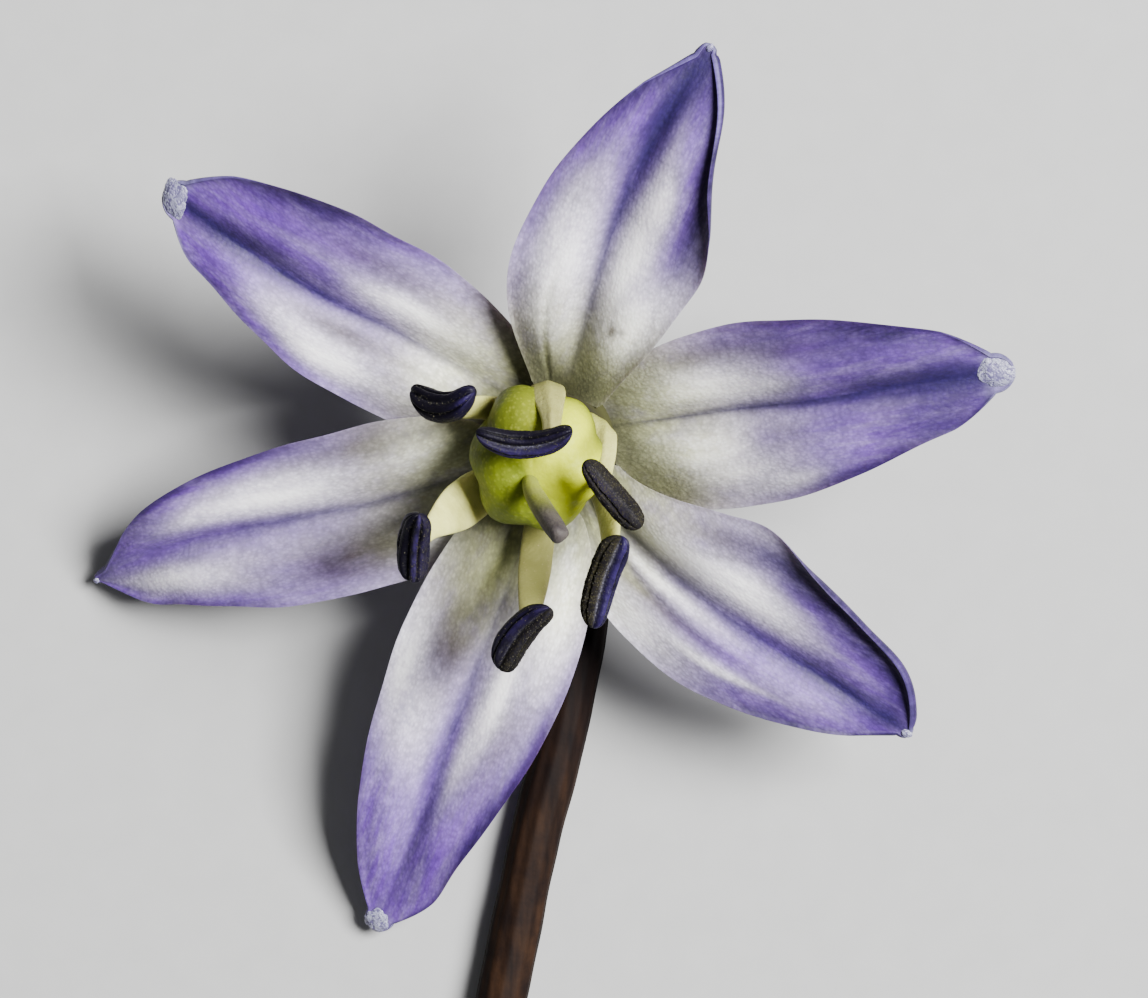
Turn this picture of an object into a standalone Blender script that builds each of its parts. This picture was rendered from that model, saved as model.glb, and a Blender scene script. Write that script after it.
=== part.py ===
"""A squill flower, picked, lying on a table on its hooked stalk and on the tips of two tepals.

World axes: +Z up from the table, +X and +Y along the table. The bloom opens upwards and leans towards -Y.
The origin is on the table, at the middle of the flower's bounding box.
Places and sizes below are in millimetres, and angles in degrees, unless a name says otherwise.
"""
import math

import bmesh
import bpy
import numpy as np

MM = 0.001

# The bloom: its foot is the middle of the receptacle's flat top, and its axis leans from the vertical
FOOT = np.array([0.3, 4.1, 5.3])
LEAN_TO_MINUS_Y = 20.0
LEAN_TO_MINUS_X = 12.0

# The receptacle and the stalk
RECEPTACLE_RADIUS = 1.7
RECEPTACLE_WALL = 1.35
# How far down the axis the receptacle narrows to each radius, from its wall's end to the stalk's neck
RECEPTACLE_CONE = [(1.6, 1.45), (1.9, 1.1), (2.15, 0.88)]
STALK_RADIUS = 0.77
STALK_AXIS_HEIGHT = 0.70
HOOK_HANDLE = 1.4
HOOK_SIDEWAYS = 0.15
HOOK_STEPS = 15
STALK_SIDES = 16
# Where the stalk lands on the table, and the points it passes on its way to the cut end, measured from the foot
STALK_LANDING = (1.28, -1.4)
STALK_PASSES = [(1.14, -3.5), (0.80, -6.0), (0.22, -9.0), (-0.56, -12.0), (-1.52, -16.6), (-2.2, -19.8)]
# The way in which the stalk comes to its landing, and how many points it has from one pass to the next
STALK_LEAD_IN = (0.1, 3.0, 0.0)
STEPS_PER_PASS = 4

# What all tepals share. Shares along a tepal run from 0 at its base to 1 at its tip, and shares across it from 0 at
# the midvein to 1 at the margin.
TEPAL_RING = 1.8
TEPAL_LEVEL = -0.4
TEPAL_BASE_HALF_WIDTH = 0.7
TEPAL_THICKNESS = 0.6
TEPAL_TIP_HALF_WIDTH = 0.13
# How far both margins roll up at the tip, in degrees
TEPAL_HOOD = 18.0
TEPAL_ROWS = 22
TEPAL_COLUMNS = 12
# How much closer the rows stand at the base than at the tip
ROWS_GATHER = 0.3
# The length of the curve's two handles, as a share of the straight way from base to tip
TEPAL_HANDLE = 0.36
# The powers that shape the swell from the base and the taper to the tip
BASE_SWELL = 0.85
TIP_SPEED = 1.1
TIP_BLUNTNESS = 0.75
# Where across it a margin starts to roll, and where along it the roll and the hood begin and are complete
ROLL_START = 0.72
ROLL_GROWS = (0.12, 0.4)
HOOD_GROWS = (0.86, 0.99)
# A roll is never quite nothing, in radians, because its radius is one divided by it
LEAST_CURL = 1e-6
# Where along it the pillows and the channel grow and fade
BODY_GROWS = (0.0, 0.2)
BODY_FADES = (0.7, 0.96)
CHANNEL_DEPTH = 0.16
CHANNEL_WIDTH = 0.13
PILLOW_HEIGHT = 0.3
PILLOW_REACH = 0.95
PILLOW_POWER = 1.3
CUP_HEIGHT = 0.22
# How far a margin is lifted over its neighbour, where along it that ends, and where across it one margin's lap
# changes into the other's
OVERLAP_LIFT = 0.38
OVERLAP_FADES = (0.3, 0.55)
OVERLAP_CHANGES = (-0.6, 0.6)

# The six tepals. base: its direction round the receptacle. tip: from the foot. rise and droop: how it leaves the
# receptacle and ends, against the plane of the bloom. turn: sideways turn of its end. left and right: half width and
# where along it that is reached. lap: whether each margin laps over (1) or under (-1) its neighbour near the base.
# curl: how far each margin rolls up.
TEPALS = {
    "tepal_top": dict(
        base=71, tip=(4.59, 11.44, 7.0), rise=26, droop=15, turn=-13,
        left=(2.40, 0.24), right=(3.20, 0.50), lap=(1, 1), curl=(15, 110)),
    "tepal_upper_left": dict(
        base=138, tip=(-11.44, 7.49, 2.6), rise=22, droop=15, turn=3,
        left=(2.60, 0.25), right=(2.90, 0.55), lap=(-1, -1), curl=(10, 20)),
    "tepal_left": dict(
        base=200, tip=(-14.06, -4.16, -4.65), rise=23, droop=25, turn=20,
        left=(2.88, 0.30), right=(2.60, 0.25), lap=(-1, 1), curl=(10, 10)),
    "tepal_bottom": dict(
        base=251, tip=(-5.48, -14.88, -4.65), rise=24, droop=12, turn=-2,
        left=(2.80, 0.28), right=(2.57, 0.39), lap=(1, 1), curl=(15, 10)),
    "tepal_lower_right": dict(
        base=306, tip=(10.70, -8.74, -0.4), rise=23, droop=10, turn=-2,
        left=(3.55, 0.47), right=(2.60, 0.43), lap=(1, -1), curl=(105, 25)),
    "tepal_right": dict(
        base=11, tip=(13.48, 2.07, 4.7), rise=20, droop=14, turn=-8,
        left=(2.78, 0.42), right=(2.95, 0.25), lap=(-1, -1), curl=(10, 10)),
}

# The ovary
OVARY_RADIUS = 2.03
OVARY_HEIGHT = 3.4
OVARY_SQUARENESS = (1.8, 2.6)
OVARY_BUMP = 0.07
# How far its middle bulges off the axis, to the east and to the north
OVARY_BULGE = (-0.08, 0.22)
OVARY_DENT_RADIUS = 0.5
OVARY_DENT_DEPTH = 0.14
OVARY_BUMPS = 6
OVARY_SIDES = 36
OVARY_ROWS = 12
# The rings stop this share of a half turn short of its poles on either side of its middle
OVARY_POLE = 0.46
# Pieces that grow from one another stand this far apart
GAP = 0.1

# The stamens: each filament stands on the receptacle in front of its tepal and carries one anther.
# foot: its direction round the receptacle. width: the filament's width low down. swing: how far it arches out on its
# way up. anther: middle of the anther, from the foot of the bloom. length: the anther's length. along: its long axis.
# hold: how far along it the filament joins. front: the way its slit faces.
FILAMENT_RING = 1.45
FILAMENT_OUTWARD = 0.9
FILAMENT_FOOT_WIDTH = 0.9
FILAMENT_TOP_WIDTH = 0.62
FILAMENT_THICKNESS = 0.6
FILAMENT_HANDLE = 2.0
FILAMENT_ARCH = 1.3
FILAMENT_CLEARANCE = 0.15
# Where along it a filament is broadest
FILAMENT_BELLY = 0.3
FILAMENT_ROWS = 10
FILAMENT_SIDES = 10
ANTHER_WIDTH = 0.95
ANTHER_DEPTH = 0.85
# How far an anther's ends bend forward of its middle, and the share of that by which its middle stands back
ANTHER_BEND = 0.22
ANTHER_SET_BACK = 0.4
ANTHER_ROWS = 11
ANTHER_SIDES = 14
# How blunt its ends are, and the share of its length at which the last rings close it
ANTHER_BLUNTNESS = 2.6
ANTHER_CLOSE = 0.985
# The slit: its depth as a share of the half depth, and its width as a share of the half width
SLIT_DEPTH = 0.38
SLIT_WIDTH = 0.32
STAMENS = {
    "top": dict(
        foot=78, width=1.2, swing=1.35,
        anther=(-0.80, 0.08, 4.7), length=2.75, along=(1.0, 0.02, 0.1), hold=0.35, front=(0.05, -0.3, 1.0)),
    "upper_left": dict(
        foot=139, width=0.9, swing=0.75,
        anther=(-3.20, 1.22, 4.2), length=2.2, along=(1.0, -0.03, 0.6), hold=0.0, front=(-0.3, 0.4, 1.0)),
    "left": dict(
        foot=209, width=1.3, swing=0.4,
        anther=(-4.06, -2.97, 3.9), length=2.35, along=(0.05, 1.0, 0.65), hold=0.0, front=(-0.5, -0.2, 1.0)),
    "bottom": dict(
        foot=259, width=0.9, swing=0.1,
        anther=(-0.90, -5.62, 4.0), length=2.5, along=(0.62, 0.75, 0.35), hold=0.0, front=(-0.1, -0.2, 1.0)),
    "lower_right": dict(
        foot=320, width=0.9, swing=0.5,
        anther=(1.51, -4.03, 4.3), length=2.9, along=(0.30, 0.95, 0.2), hold=0.4, front=(0.2, -0.1, 1.0)),
    "right": dict(
        foot=24, width=0.9, swing=0.9,
        anther=(1.74, -1.50, 4.6), length=2.6, along=(0.64, -0.76, -0.2), hold=-0.2, front=(0.25, 0.15, 1.0)),
}

# The style
STYLE_TIP = (0.25, -2.78, 6.0)
STYLE_RADIUS = 0.3
STYLE_HANDLE = 1.2
STYLE_ROWS = 8
STYLE_SIDES = 10

# Linear base colour and roughness of each tissue
TISSUES = {
    "tepal": ((0.56, 0.50, 0.80), 0.55),
    "filament": ((0.66, 0.68, 0.42), 0.5),
    "anther": ((0.018, 0.012, 0.05), 0.6),
    "ovary": ((0.42, 0.50, 0.09), 0.4),
    "style": ((0.36, 0.36, 0.22), 0.45),
    "stalk": ((0.09, 0.04, 0.035), 0.5),
}


def unit(vectors):
    """Vectors scaled to length one, along the last axis."""
    vectors = np.asarray(vectors, dtype=float)
    return vectors / np.linalg.norm(vectors, axis=-1, keepdims=True)


def smooth(low, high, values):
    """0 below low, 1 above high, and an even S between them."""
    x = np.clip((values - low) / (high - low), 0.0, 1.0)
    return x * x * (3.0 - 2.0 * x)


AXIS = unit([
    -math.tan(math.radians(LEAN_TO_MINUS_X)),
    -math.tan(math.radians(LEAN_TO_MINUS_Y)),
    1.0,
])
# Two directions in the plane of the bloom: EAST is level with +X, NORTH completes the frame
EAST = unit(np.cross([0.0, 1.0, 0.0], AXIS))
NORTH = np.cross(AXIS, EAST)


def around(degrees):
    """Direction in the plane of the bloom, counted from EAST towards NORTH."""
    angle = math.radians(degrees)
    return math.cos(angle) * EAST + math.sin(angle) * NORTH


def bezier(points, steps):
    """Points on a cubic Bezier curve and its unit tangents, at the given steps from 0 to 1."""
    a, b, c, d = (np.asarray(point, dtype=float) for point in points)
    u = np.asarray(steps)[:, None]
    v = 1.0 - u
    place = v**3 * a + 3 * v * v * u * b + 3 * v * u * u * c + u**3 * d
    tangent = unit(v * v * (b - a) + 2 * v * u * (c - b) + u * u * (d - c))
    return place, tangent


def make_material(tissue):
    """A plain Principled material in the tissue's colour."""
    colour, roughness = TISSUES[tissue]
    material = bpy.data.materials.new(tissue)
    material.use_nodes = True
    shader = material.node_tree.nodes["Principled BSDF"]
    shader.inputs["Base Color"].default_value = (*colour, 1.0)
    shader.inputs["Roughness"].default_value = roughness
    shader.inputs["Metallic"].default_value = 0.0
    return material


def add_object(name, bm, tissue):
    """Turn a bmesh into a smooth-shaded object of the given tissue."""
    bmesh.ops.recalc_face_normals(bm, faces=bm.faces[:])
    mesh = bpy.data.meshes.new(name)
    bm.to_mesh(mesh)
    bm.free()
    mesh.shade_smooth()
    mesh.materials.append(make_material(tissue))
    piece = bpy.data.objects.new(name, mesh)
    bpy.context.collection.objects.link(piece)
    return piece


def closed_tube(rings):
    """A bmesh of closed rings of points bridged one to the next, with its two ends filled."""
    bm = bmesh.new()
    loops = [[bm.verts.new(point * MM) for point in ring] for ring in rings]
    for low, high in zip(loops, loops[1:]):
        for i in range(len(low)):
            j = (i + 1) % len(low)
            bm.faces.new((low[i], low[j], high[j], high[i]))
    bm.faces.new(loops[0][::-1])
    bm.faces.new(loops[-1])
    bmesh.ops.triangulate(bm, faces=bm.faces[:])
    return bm


def tepal_wing(s, half_width, belly):
    """Half width along one side of a tepal: a quick swell from the base to the belly, then a blunt taper."""
    share = TEPAL_BASE_HALF_WIDTH / half_width
    swelling = share + (1 - share) * np.sin(0.5 * math.pi * np.clip(s / belly, 0, 1)) ** BASE_SWELL
    x = np.clip((s - belly) / (1 - belly), 0, 1)
    tapering = np.cos(0.5 * math.pi * x**TIP_SPEED) ** TIP_BLUNTNESS
    return half_width * np.where(s < belly, swelling, tapering)


def tepal_points(shape, s, t):
    """Upper surface of a tepal on the grid of s, along it from base to tip, and t, across it from -1 to 1.

    The midvein is a Bezier curve from the ring to the tip. Each side is flat out to its half width, then raised into
    a pillow beside the midvein's channel, cupped, lapped over or under its neighbour, and rolled up at the margin.
    """
    base_way = around(shape["base"])
    tip = np.array(shape["tip"])
    tip_way = unit(tip - tip.dot(AXIS) * AXIS)
    turn = math.radians(shape["turn"])
    end_way = math.cos(turn) * tip_way + math.sin(turn) * np.cross(AXIS, tip_way)
    rise, droop = math.radians(shape["rise"]), math.radians(shape["droop"])
    start = base_way * TEPAL_RING + TEPAL_LEVEL * AXIS
    handle = TEPAL_HANDLE * np.linalg.norm(tip - start)
    leave = math.cos(rise) * base_way + math.sin(rise) * AXIS
    arrive = math.cos(droop) * end_way - math.sin(droop) * AXIS
    midvein, tangent = bezier([start, start + handle * leave, tip - handle * arrive, tip], s)
    across = unit(np.cross(AXIS, tangent))
    normal = np.cross(tangent, across)

    s, t = s[:, None], t[None, :]
    side = np.sign(t)
    reach = np.abs(t)
    half = np.where(t > 0, tepal_wing(s, *shape["left"]), tepal_wing(s, *shape["right"]))
    curl = np.radians(np.where(t > 0, *shape["curl"])) * smooth(*ROLL_GROWS, s)
    curl = np.maximum(curl, math.radians(TEPAL_HOOD) * smooth(*HOOD_GROWS, s)) + LEAST_CURL
    # The widths are those of the outer face, which a rolled margin carries outwards by the blade's thickness
    outer = TEPAL_THICKNESS * np.sin(np.minimum(curl, 0.5 * math.pi))
    half = np.maximum(half - outer, TEPAL_TIP_HALF_WIDTH)

    q = np.clip((reach - ROLL_START) / (1 - ROLL_START), 0, 1)
    strip = (1 - ROLL_START) * half
    sideways = np.minimum(reach, ROLL_START) * half + strip * np.sin(curl * q) / curl
    height = strip * (1 - np.cos(curl * q)) / curl

    body = smooth(*BODY_GROWS, s) * (1 - smooth(*BODY_FADES, s))
    height = height + PILLOW_HEIGHT * body * np.sin(math.pi * np.minimum(reach / PILLOW_REACH, 1)) ** PILLOW_POWER
    height = height + CUP_HEIGHT * body * reach**2
    height = height - CHANNEL_DEPTH * body * np.exp(-(t / CHANNEL_WIDTH) ** 2)
    lap_left, lap_right = shape["lap"]
    lap = lap_right + (lap_left - lap_right) * smooth(*OVERLAP_CHANGES, t)
    lift = OVERLAP_LIFT * lap * (1 - smooth(*OVERLAP_FADES, s))
    points = midvein[:, None] + (side * sideways)[..., None] * across[:, None]
    return FOOT + points + height[..., None] * normal[:, None] + lift[..., None] * AXIS


def make_tepal(name, shape):
    """A tepal: a sheet of like triangles, thickened downwards."""
    steps = np.linspace(0, 1, TEPAL_ROWS)
    s = steps * (1 + ROWS_GATHER - ROWS_GATHER * steps)
    t = np.linspace(-1, 1, TEPAL_COLUMNS + 1)
    points = tepal_points(shape, s, t)
    bm = bmesh.new()
    verts = [[bm.verts.new(point * MM) for point in row] for row in points]
    for low, high in zip(verts, verts[1:]):
        for j in range(TEPAL_COLUMNS):
            bm.faces.new((low[j], high[j], high[j + 1], low[j + 1]))
    bmesh.ops.triangulate(bm, faces=bm.faces[:])
    piece = add_object(name, bm, "tepal")
    if piece.data.polygons[0].normal.z < 0:
        piece.data.flip_normals()
    sheet = piece.modifiers.new("blade", "SOLIDIFY")
    sheet.thickness = TEPAL_THICKNESS * MM
    sheet.offset = -1.0
    sheet.use_even_offset = True
    return piece


def make_stalk():
    """The receptacle, a shallow cone, and the stalk that hooks under the bloom and lies along the table."""
    cone_depths = [0.0, RECEPTACLE_WALL] + [depth for depth, _ in RECEPTACLE_CONE]
    cone_radii = [RECEPTACLE_RADIUS, RECEPTACLE_RADIUS] + [radius for _, radius in RECEPTACLE_CONE]
    cone = [-depth * AXIS for depth in cone_depths]
    neck = cone[-1]
    level = STALK_AXIS_HEIGHT - FOOT[2]
    landing = np.array([*STALK_LANDING, level])
    stops = [landing] + [np.array([x, y, level]) for x, y in STALK_PASSES]
    hook, _ = bezier(
        [neck, neck - HOOK_HANDLE * AXIS, landing + [HOOK_SIDEWAYS, HOOK_HANDLE, 0.0], landing],
        np.linspace(0, 1, HOOK_STEPS))
    lying = [hook[-1]]
    # A smooth curve through all stops needs one more point before the first and one behind the last
    ghosts = [landing + STALK_LEAD_IN] + stops + [2 * stops[-1] - stops[-2]]
    for before, a, b, after in zip(ghosts, ghosts[1:], ghosts[2:], ghosts[3:]):
        for u in np.linspace(0, 1, STEPS_PER_PASS + 1)[1:]:
            blend = 0.5 * (2 * a + (b - before) * u + (2 * before - 5 * a + 4 * b - after) * u**2
                           + (3 * a - before - 3 * b + after) * u**3)
            lying.append(blend)
    path = np.array(cone + list(hook[1:-1]) + lying)
    radii = np.full(len(path), STALK_RADIUS)
    radii[:len(cone)] = cone_radii

    tangent = unit(np.gradient(path, axis=0))
    tangent[:len(cone)] = -AXIS
    up = np.array([0.0, 0.0, 1.0])
    ups = []
    for way in tangent[::-1]:
        up = unit(up - up.dot(way) * way)
        ups.append(up)
    ups = np.array(ups[::-1])
    sides = np.cross(tangent, ups)
    angle = np.linspace(0, 2 * math.pi, STALK_SIDES, endpoint=False)
    rings = (FOOT + path)[:, None] + radii[:, None, None] * (
        np.sin(angle)[None, :, None] * sides[:, None] - np.cos(angle)[None, :, None] * ups[:, None])
    rings[..., 2] = np.maximum(rings[..., 2], 0.0)
    return add_object("stalk", closed_tube(rings), "stalk")


def make_ovary():
    """The ovary: a squarish round body turned round the axis, six-bumped, with a dent on top for the style."""
    turns = np.linspace(0, 2 * math.pi, OVARY_SIDES, endpoint=False)
    spoke = np.cos(turns)[:, None] * EAST + np.sin(turns)[:, None] * NORTH
    bump = 1 - OVARY_BUMP * np.cos(OVARY_BUMPS * (turns - math.radians(STAMENS["top"]["foot"])))
    half = 0.5 * OVARY_HEIGHT
    heights = [half * math.sin(angle) for angle in np.linspace(-OVARY_POLE, OVARY_POLE, OVARY_ROWS) * math.pi]
    radii = []
    for height in heights:
        power = OVARY_SQUARENESS[height > 0]
        radii.append(OVARY_RADIUS * (1 - abs(height / half) ** power) ** (1 / power))
    heights.append(heights[-1] - OVARY_DENT_DEPTH)
    radii.append(OVARY_DENT_RADIUS)
    bulge = OVARY_BULGE[0] * EAST + OVARY_BULGE[1] * NORTH
    loops = []
    for height, radius in zip(heights, radii):
        middle = (GAP + half + height) * AXIS + (1 - (height / half) ** 2) * bulge
        loops.append(FOOT + middle + (radius * bump)[:, None] * spoke)
    return add_object("ovary", closed_tube(loops), "ovary")


def ellipse_tube(path, tangent, wide_way, half_wide, half_thick, sides):
    """Rings of an elliptic section along a path; wide_way is the direction of the section's long axis."""
    wide = unit(wide_way - np.sum(wide_way * tangent, axis=1, keepdims=True) * tangent)
    thick = np.cross(tangent, wide)
    angle = np.linspace(0, 2 * math.pi, sides, endpoint=False)
    return FOOT + path[:, None] + (
        half_wide[:, None, None] * np.cos(angle)[None, :, None] * wide[:, None]
        + half_thick[:, None, None] * np.sin(angle)[None, :, None] * thick[:, None])


def anther_ways(stamen):
    """An anther's long axis and the way its slit faces, at right angles to it."""
    along = unit(stamen["along"])
    front = np.array(stamen["front"], dtype=float)
    return along, unit(front - front.dot(along) * along)


def make_filament(name, stamen):
    """A filament: a flat stalk, widest low down, from the receptacle to the back of its anther."""
    way = around(stamen["foot"])
    start = FILAMENT_RING * way + GAP * AXIS
    out = unit(AXIS + FILAMENT_OUTWARD * way)
    along, front = anther_ways(stamen)
    behind = 0.5 * ANTHER_DEPTH + ANTHER_SET_BACK * ANTHER_BEND + FILAMENT_CLEARANCE
    end = np.array(stamen["anther"]) + stamen["hold"] * along - behind * front
    s = np.linspace(0, 1, FILAMENT_ROWS)
    arch = end - FILAMENT_ARCH * front + stamen["swing"] * way
    path, tangent = bezier([start, start + FILAMENT_HANDLE * out, arch, end], s)
    tangent[0] = AXIS
    widths = (FILAMENT_FOOT_WIDTH, stamen["width"], FILAMENT_TOP_WIDTH)
    half_wide = 0.5 * np.interp(s, (0, FILAMENT_BELLY, 1), widths)
    half_thick = np.full(FILAMENT_ROWS, 0.5 * FILAMENT_THICKNESS)
    wide_way = np.tile(np.cross(AXIS, way), (FILAMENT_ROWS, 1))
    rings = ellipse_tube(path, tangent, wide_way, half_wide, half_thick, FILAMENT_SIDES)
    return add_object(name, closed_tube(rings), "filament")


def make_anther(name, stamen):
    """An anther: a bean of two lobes with a slit between them, lying across the filament's end."""
    along, front = anther_ways(stamen)
    wide = np.cross(along, front)
    angle = np.linspace(0, 2 * math.pi, ANTHER_SIDES, endpoint=False)
    rings = []
    for u in np.sin(np.linspace(-0.5, 0.5, ANTHER_ROWS) * math.pi) * ANTHER_CLOSE:
        swell = (1 - abs(u) ** ANTHER_BLUNTNESS) ** 0.5
        x = 0.5 * ANTHER_WIDTH * swell * np.cos(angle)
        y = 0.5 * ANTHER_DEPTH * swell * np.sin(angle)
        slit = SLIT_DEPTH * np.exp(-(np.cos(angle) / SLIT_WIDTH) ** 2) * np.sin(angle)
        y = y - 0.5 * ANTHER_DEPTH * swell * slit
        bend = ANTHER_BEND * (u * u - ANTHER_SET_BACK)
        middle = np.array(stamen["anther"]) + 0.5 * stamen["length"] * u * along + bend * front
        rings.append(FOOT + middle + x[:, None] * wide + y[:, None] * front)
    return add_object(name, closed_tube(rings), "anther")


def make_style():
    """The style: a slim rod from the dent in the ovary, leaning a little, thickening to the stigma."""
    start = (OVARY_HEIGHT - OVARY_DENT_DEPTH + GAP + GAP) * AXIS
    tip = np.array(STYLE_TIP)
    lean = unit(tip - start)
    steps = np.linspace(0, 1, STYLE_ROWS)
    path, tangent = bezier([start, start + STYLE_HANDLE * AXIS, tip - STYLE_HANDLE * lean, tip], steps)
    radius = np.full(STYLE_ROWS, STYLE_RADIUS)
    wide_way = np.tile(EAST, (STYLE_ROWS, 1))
    rings = ellipse_tube(path, tangent, wide_way, radius, radius, STYLE_SIDES)
    return add_object("style", closed_tube(rings), "style")


def main():
    for old in list(bpy.data.objects):
        bpy.data.objects.remove(old, do_unlink=True)
    make_stalk()
    for name, shape in TEPALS.items():
        make_tepal(name, shape)
    for place, stamen in STAMENS.items():
        make_filament(f"filament_{place}", stamen)
        make_anther(f"anther_{place}", stamen)
    make_ovary()
    make_style()


main()
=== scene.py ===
import itertools
import math

import bpy
import numpy as np
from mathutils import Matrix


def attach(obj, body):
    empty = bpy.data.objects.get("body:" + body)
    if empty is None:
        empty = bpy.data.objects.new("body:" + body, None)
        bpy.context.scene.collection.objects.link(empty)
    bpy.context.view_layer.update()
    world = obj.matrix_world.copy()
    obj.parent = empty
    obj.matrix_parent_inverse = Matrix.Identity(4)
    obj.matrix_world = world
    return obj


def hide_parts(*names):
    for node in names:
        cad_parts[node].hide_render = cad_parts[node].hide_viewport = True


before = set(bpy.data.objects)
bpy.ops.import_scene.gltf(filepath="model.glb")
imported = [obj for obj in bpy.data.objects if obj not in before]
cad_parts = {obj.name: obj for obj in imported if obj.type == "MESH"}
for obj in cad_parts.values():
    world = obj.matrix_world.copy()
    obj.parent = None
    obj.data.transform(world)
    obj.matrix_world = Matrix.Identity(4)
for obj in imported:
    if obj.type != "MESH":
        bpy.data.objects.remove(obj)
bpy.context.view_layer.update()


# The table, the light and the camera.
# The picked flower lies on a plain pale board, under one soft lamp from the right and a bright room. The
# camera hangs straight over the bloom. Sizes and places are in metres here, the lens in millimetres.
TABLE_SIZE = 4.0
TABLE_GREYS = ((0.27, 0.27, 0.267), (0.30, 0.30, 0.297))
LAMP_SIZE = 0.17
LAMP_DISTANCE = 0.4
LAMP_DIRECTION = (0.55, 0.16, 0.82)
LAMP_POWER = 8.6
ROOM_COLOUR = (0.95, 0.97, 1.0)
ROOM_BRIGHTNESS = 0.20
CAMERA_PLACE = (0.00093, 0.00245, 0.196)
CAMERA_LENS = 199.3
CAMERA_SENSOR = 36.0
CAMERA_NEAREST = 0.01


def add_node(tree, kind, inputs=None, **settings):
    """A shader node with its settings and its inputs, each a value or the socket that feeds it."""
    node = tree.nodes.new(kind)
    for name, value in settings.items():
        setattr(node, name, value)
    for name, value in (inputs or {}).items():
        if isinstance(value, bpy.types.NodeSocket):
            tree.links.new(value, node.inputs[name])
        else:
            node.inputs[name].default_value = value
    return node


def new_material(name):
    """An empty node material, its node tree and its Principled shader."""
    material = bpy.data.materials.new(name)
    material.use_nodes = True
    return material, material.node_tree, material.node_tree.nodes["Principled BSDF"]


def object_place(tree):
    """The socket of the Object coordinates."""
    return add_node(tree, "ShaderNodeTexCoord").outputs["Object"]


def noise(tree, place, scale, detail, roughness=0.5):
    """The socket of a cloudy noise, from 0 to 1."""
    inputs = {"Vector": place, "Scale": scale, "Detail": detail, "Roughness": roughness}
    return add_node(tree, "ShaderNodeTexNoise", inputs).outputs["Fac"]


def mix_colours(tree, share, first, second, blend="MIX"):
    """The first colour, turned into the second by share, which is a number or a mask's socket."""
    first, second = ((*colour, 1.0) if isinstance(colour, tuple) else colour for colour in (first, second))
    inputs = {0: share, 6: first, 7: second}
    return add_node(tree, "ShaderNodeMix", inputs, data_type="RGBA", blend_type=blend).outputs[2]


def add_object(name, data):
    """A new object with the given data, put into the scene."""
    thing = bpy.data.objects.new(name, data)
    bpy.context.collection.objects.link(thing)
    return thing


def make_table():
    """A square board with its top at height zero."""
    half = 0.5 * TABLE_SIZE
    corners = [(-half, -half, 0), (half, -half, 0), (half, half, 0), (-half, half, 0)]
    mesh = bpy.data.meshes.new("table")
    mesh.from_pydata(corners, [], [(0, 1, 2, 3)])
    material, tree, shader = new_material("table top")
    mottle = noise(tree, object_place(tree), 900.0, 3.0)
    tree.links.new(mix_colours(tree, mottle, *TABLE_GREYS), shader.inputs["Base Color"])
    shader.inputs["Roughness"].default_value = 0.7
    mesh.materials.append(material)
    add_object("table", mesh)


def make_light():
    """A square soft lamp turned towards the bloom, and an even pale room."""
    lamp_data = bpy.data.lights.new("lamp", "AREA")
    lamp_data.size = LAMP_SIZE
    lamp_data.energy = LAMP_POWER
    lamp = add_object("lamp", lamp_data)
    way = np.array(LAMP_DIRECTION) / np.linalg.norm(LAMP_DIRECTION)
    lamp.location = way * LAMP_DISTANCE
    lamp.rotation_euler = (0.0, math.acos(way[2]), math.atan2(way[1], way[0]))
    room = bpy.data.worlds.new("room")
    room.use_nodes = True
    background = room.node_tree.nodes["Background"]
    background.inputs["Color"].default_value = (*ROOM_COLOUR, 1.0)
    background.inputs["Strength"].default_value = ROOM_BRIGHTNESS
    bpy.context.scene.world = room


def make_camera():
    """A long lens straight above the bloom, with the stalk towards the bottom of the picture."""
    camera_data = bpy.data.cameras.new("camera")
    camera_data.lens = CAMERA_LENS
    camera_data.sensor_width = CAMERA_SENSOR
    camera_data.clip_start = CAMERA_NEAREST
    camera = add_object("camera", camera_data)
    camera.location = CAMERA_PLACE
    bpy.context.scene.camera = camera


make_table()
make_light()
make_camera()


# The stalk with the receptacle.
# A slim purple-brown pedicel, fleshy and finely ribbed, that widens under the bloom into the receptacle
# where all the rest grows. It was picked: it hooks under the bloom, lies along the table and ends in a clean
# cut. From here on sizes and places are in millimetres; what a shader takes stays in metres.
MM = 0.001
FOOT = np.array([0.3, 4.1, 5.3])
LEAN_TO_MINUS_Y = 20.0
LEAN_TO_MINUS_X = 12.0
RECEPTACLE_RADIUS = 1.7
RECEPTACLE_DEPTH = 2.15
RECEPTACLE_RIM = 0.28
RECEPTACLE_ROWS = 26
NECK_RUN = (0.95, 2.6)
STALK_RADIUS = 0.77
STALK_AXIS_HEIGHT = 0.70
STALK_WAVES = ((0.012, 1.3, 0.0), (0.009, 2.9, 1.0))
STALK_SIDES = 56
STALK_RIBS = 11
STALK_RIB_HEIGHT = 0.018
STALK_RIB_TWIST = 0.06
RIBS_RUN = (2.0, 4.0)
HOOK_HANDLE = 1.4
HOOK_SIDE = 0.15
HOOK_ROWS = 40
STALK_LANDING = (1.28, -1.4)
STALK_PASSES = [(1.14, -3.5), (0.80, -6.0), (0.22, -9.0), (-0.56, -12.0), (-1.52, -16.6), (-2.2, -19.8)]
PASS_ROWS = 20
CUT_RINGS = (0.97, 0.90, 0.72, 0.5, 0.25)
CUT_HOLLOW = 0.10
STALK_DARK = ((0.0018, 0.0008, 0.0009), (0.0052, 0.0023, 0.0018))
# The golden-brown is partly the stalk's own colour and partly painted light; the dark green under the bloom
# is painted shade.
STALK_GOLDEN_LIT = ((0.0060, 0.0027, 0.0015), (0.023, 0.0105, 0.0048))
STALK_YOUNG_SHADED = (0.040, 0.040, 0.015)
STALK_PITH = (0.42, 0.46, 0.22)


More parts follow.
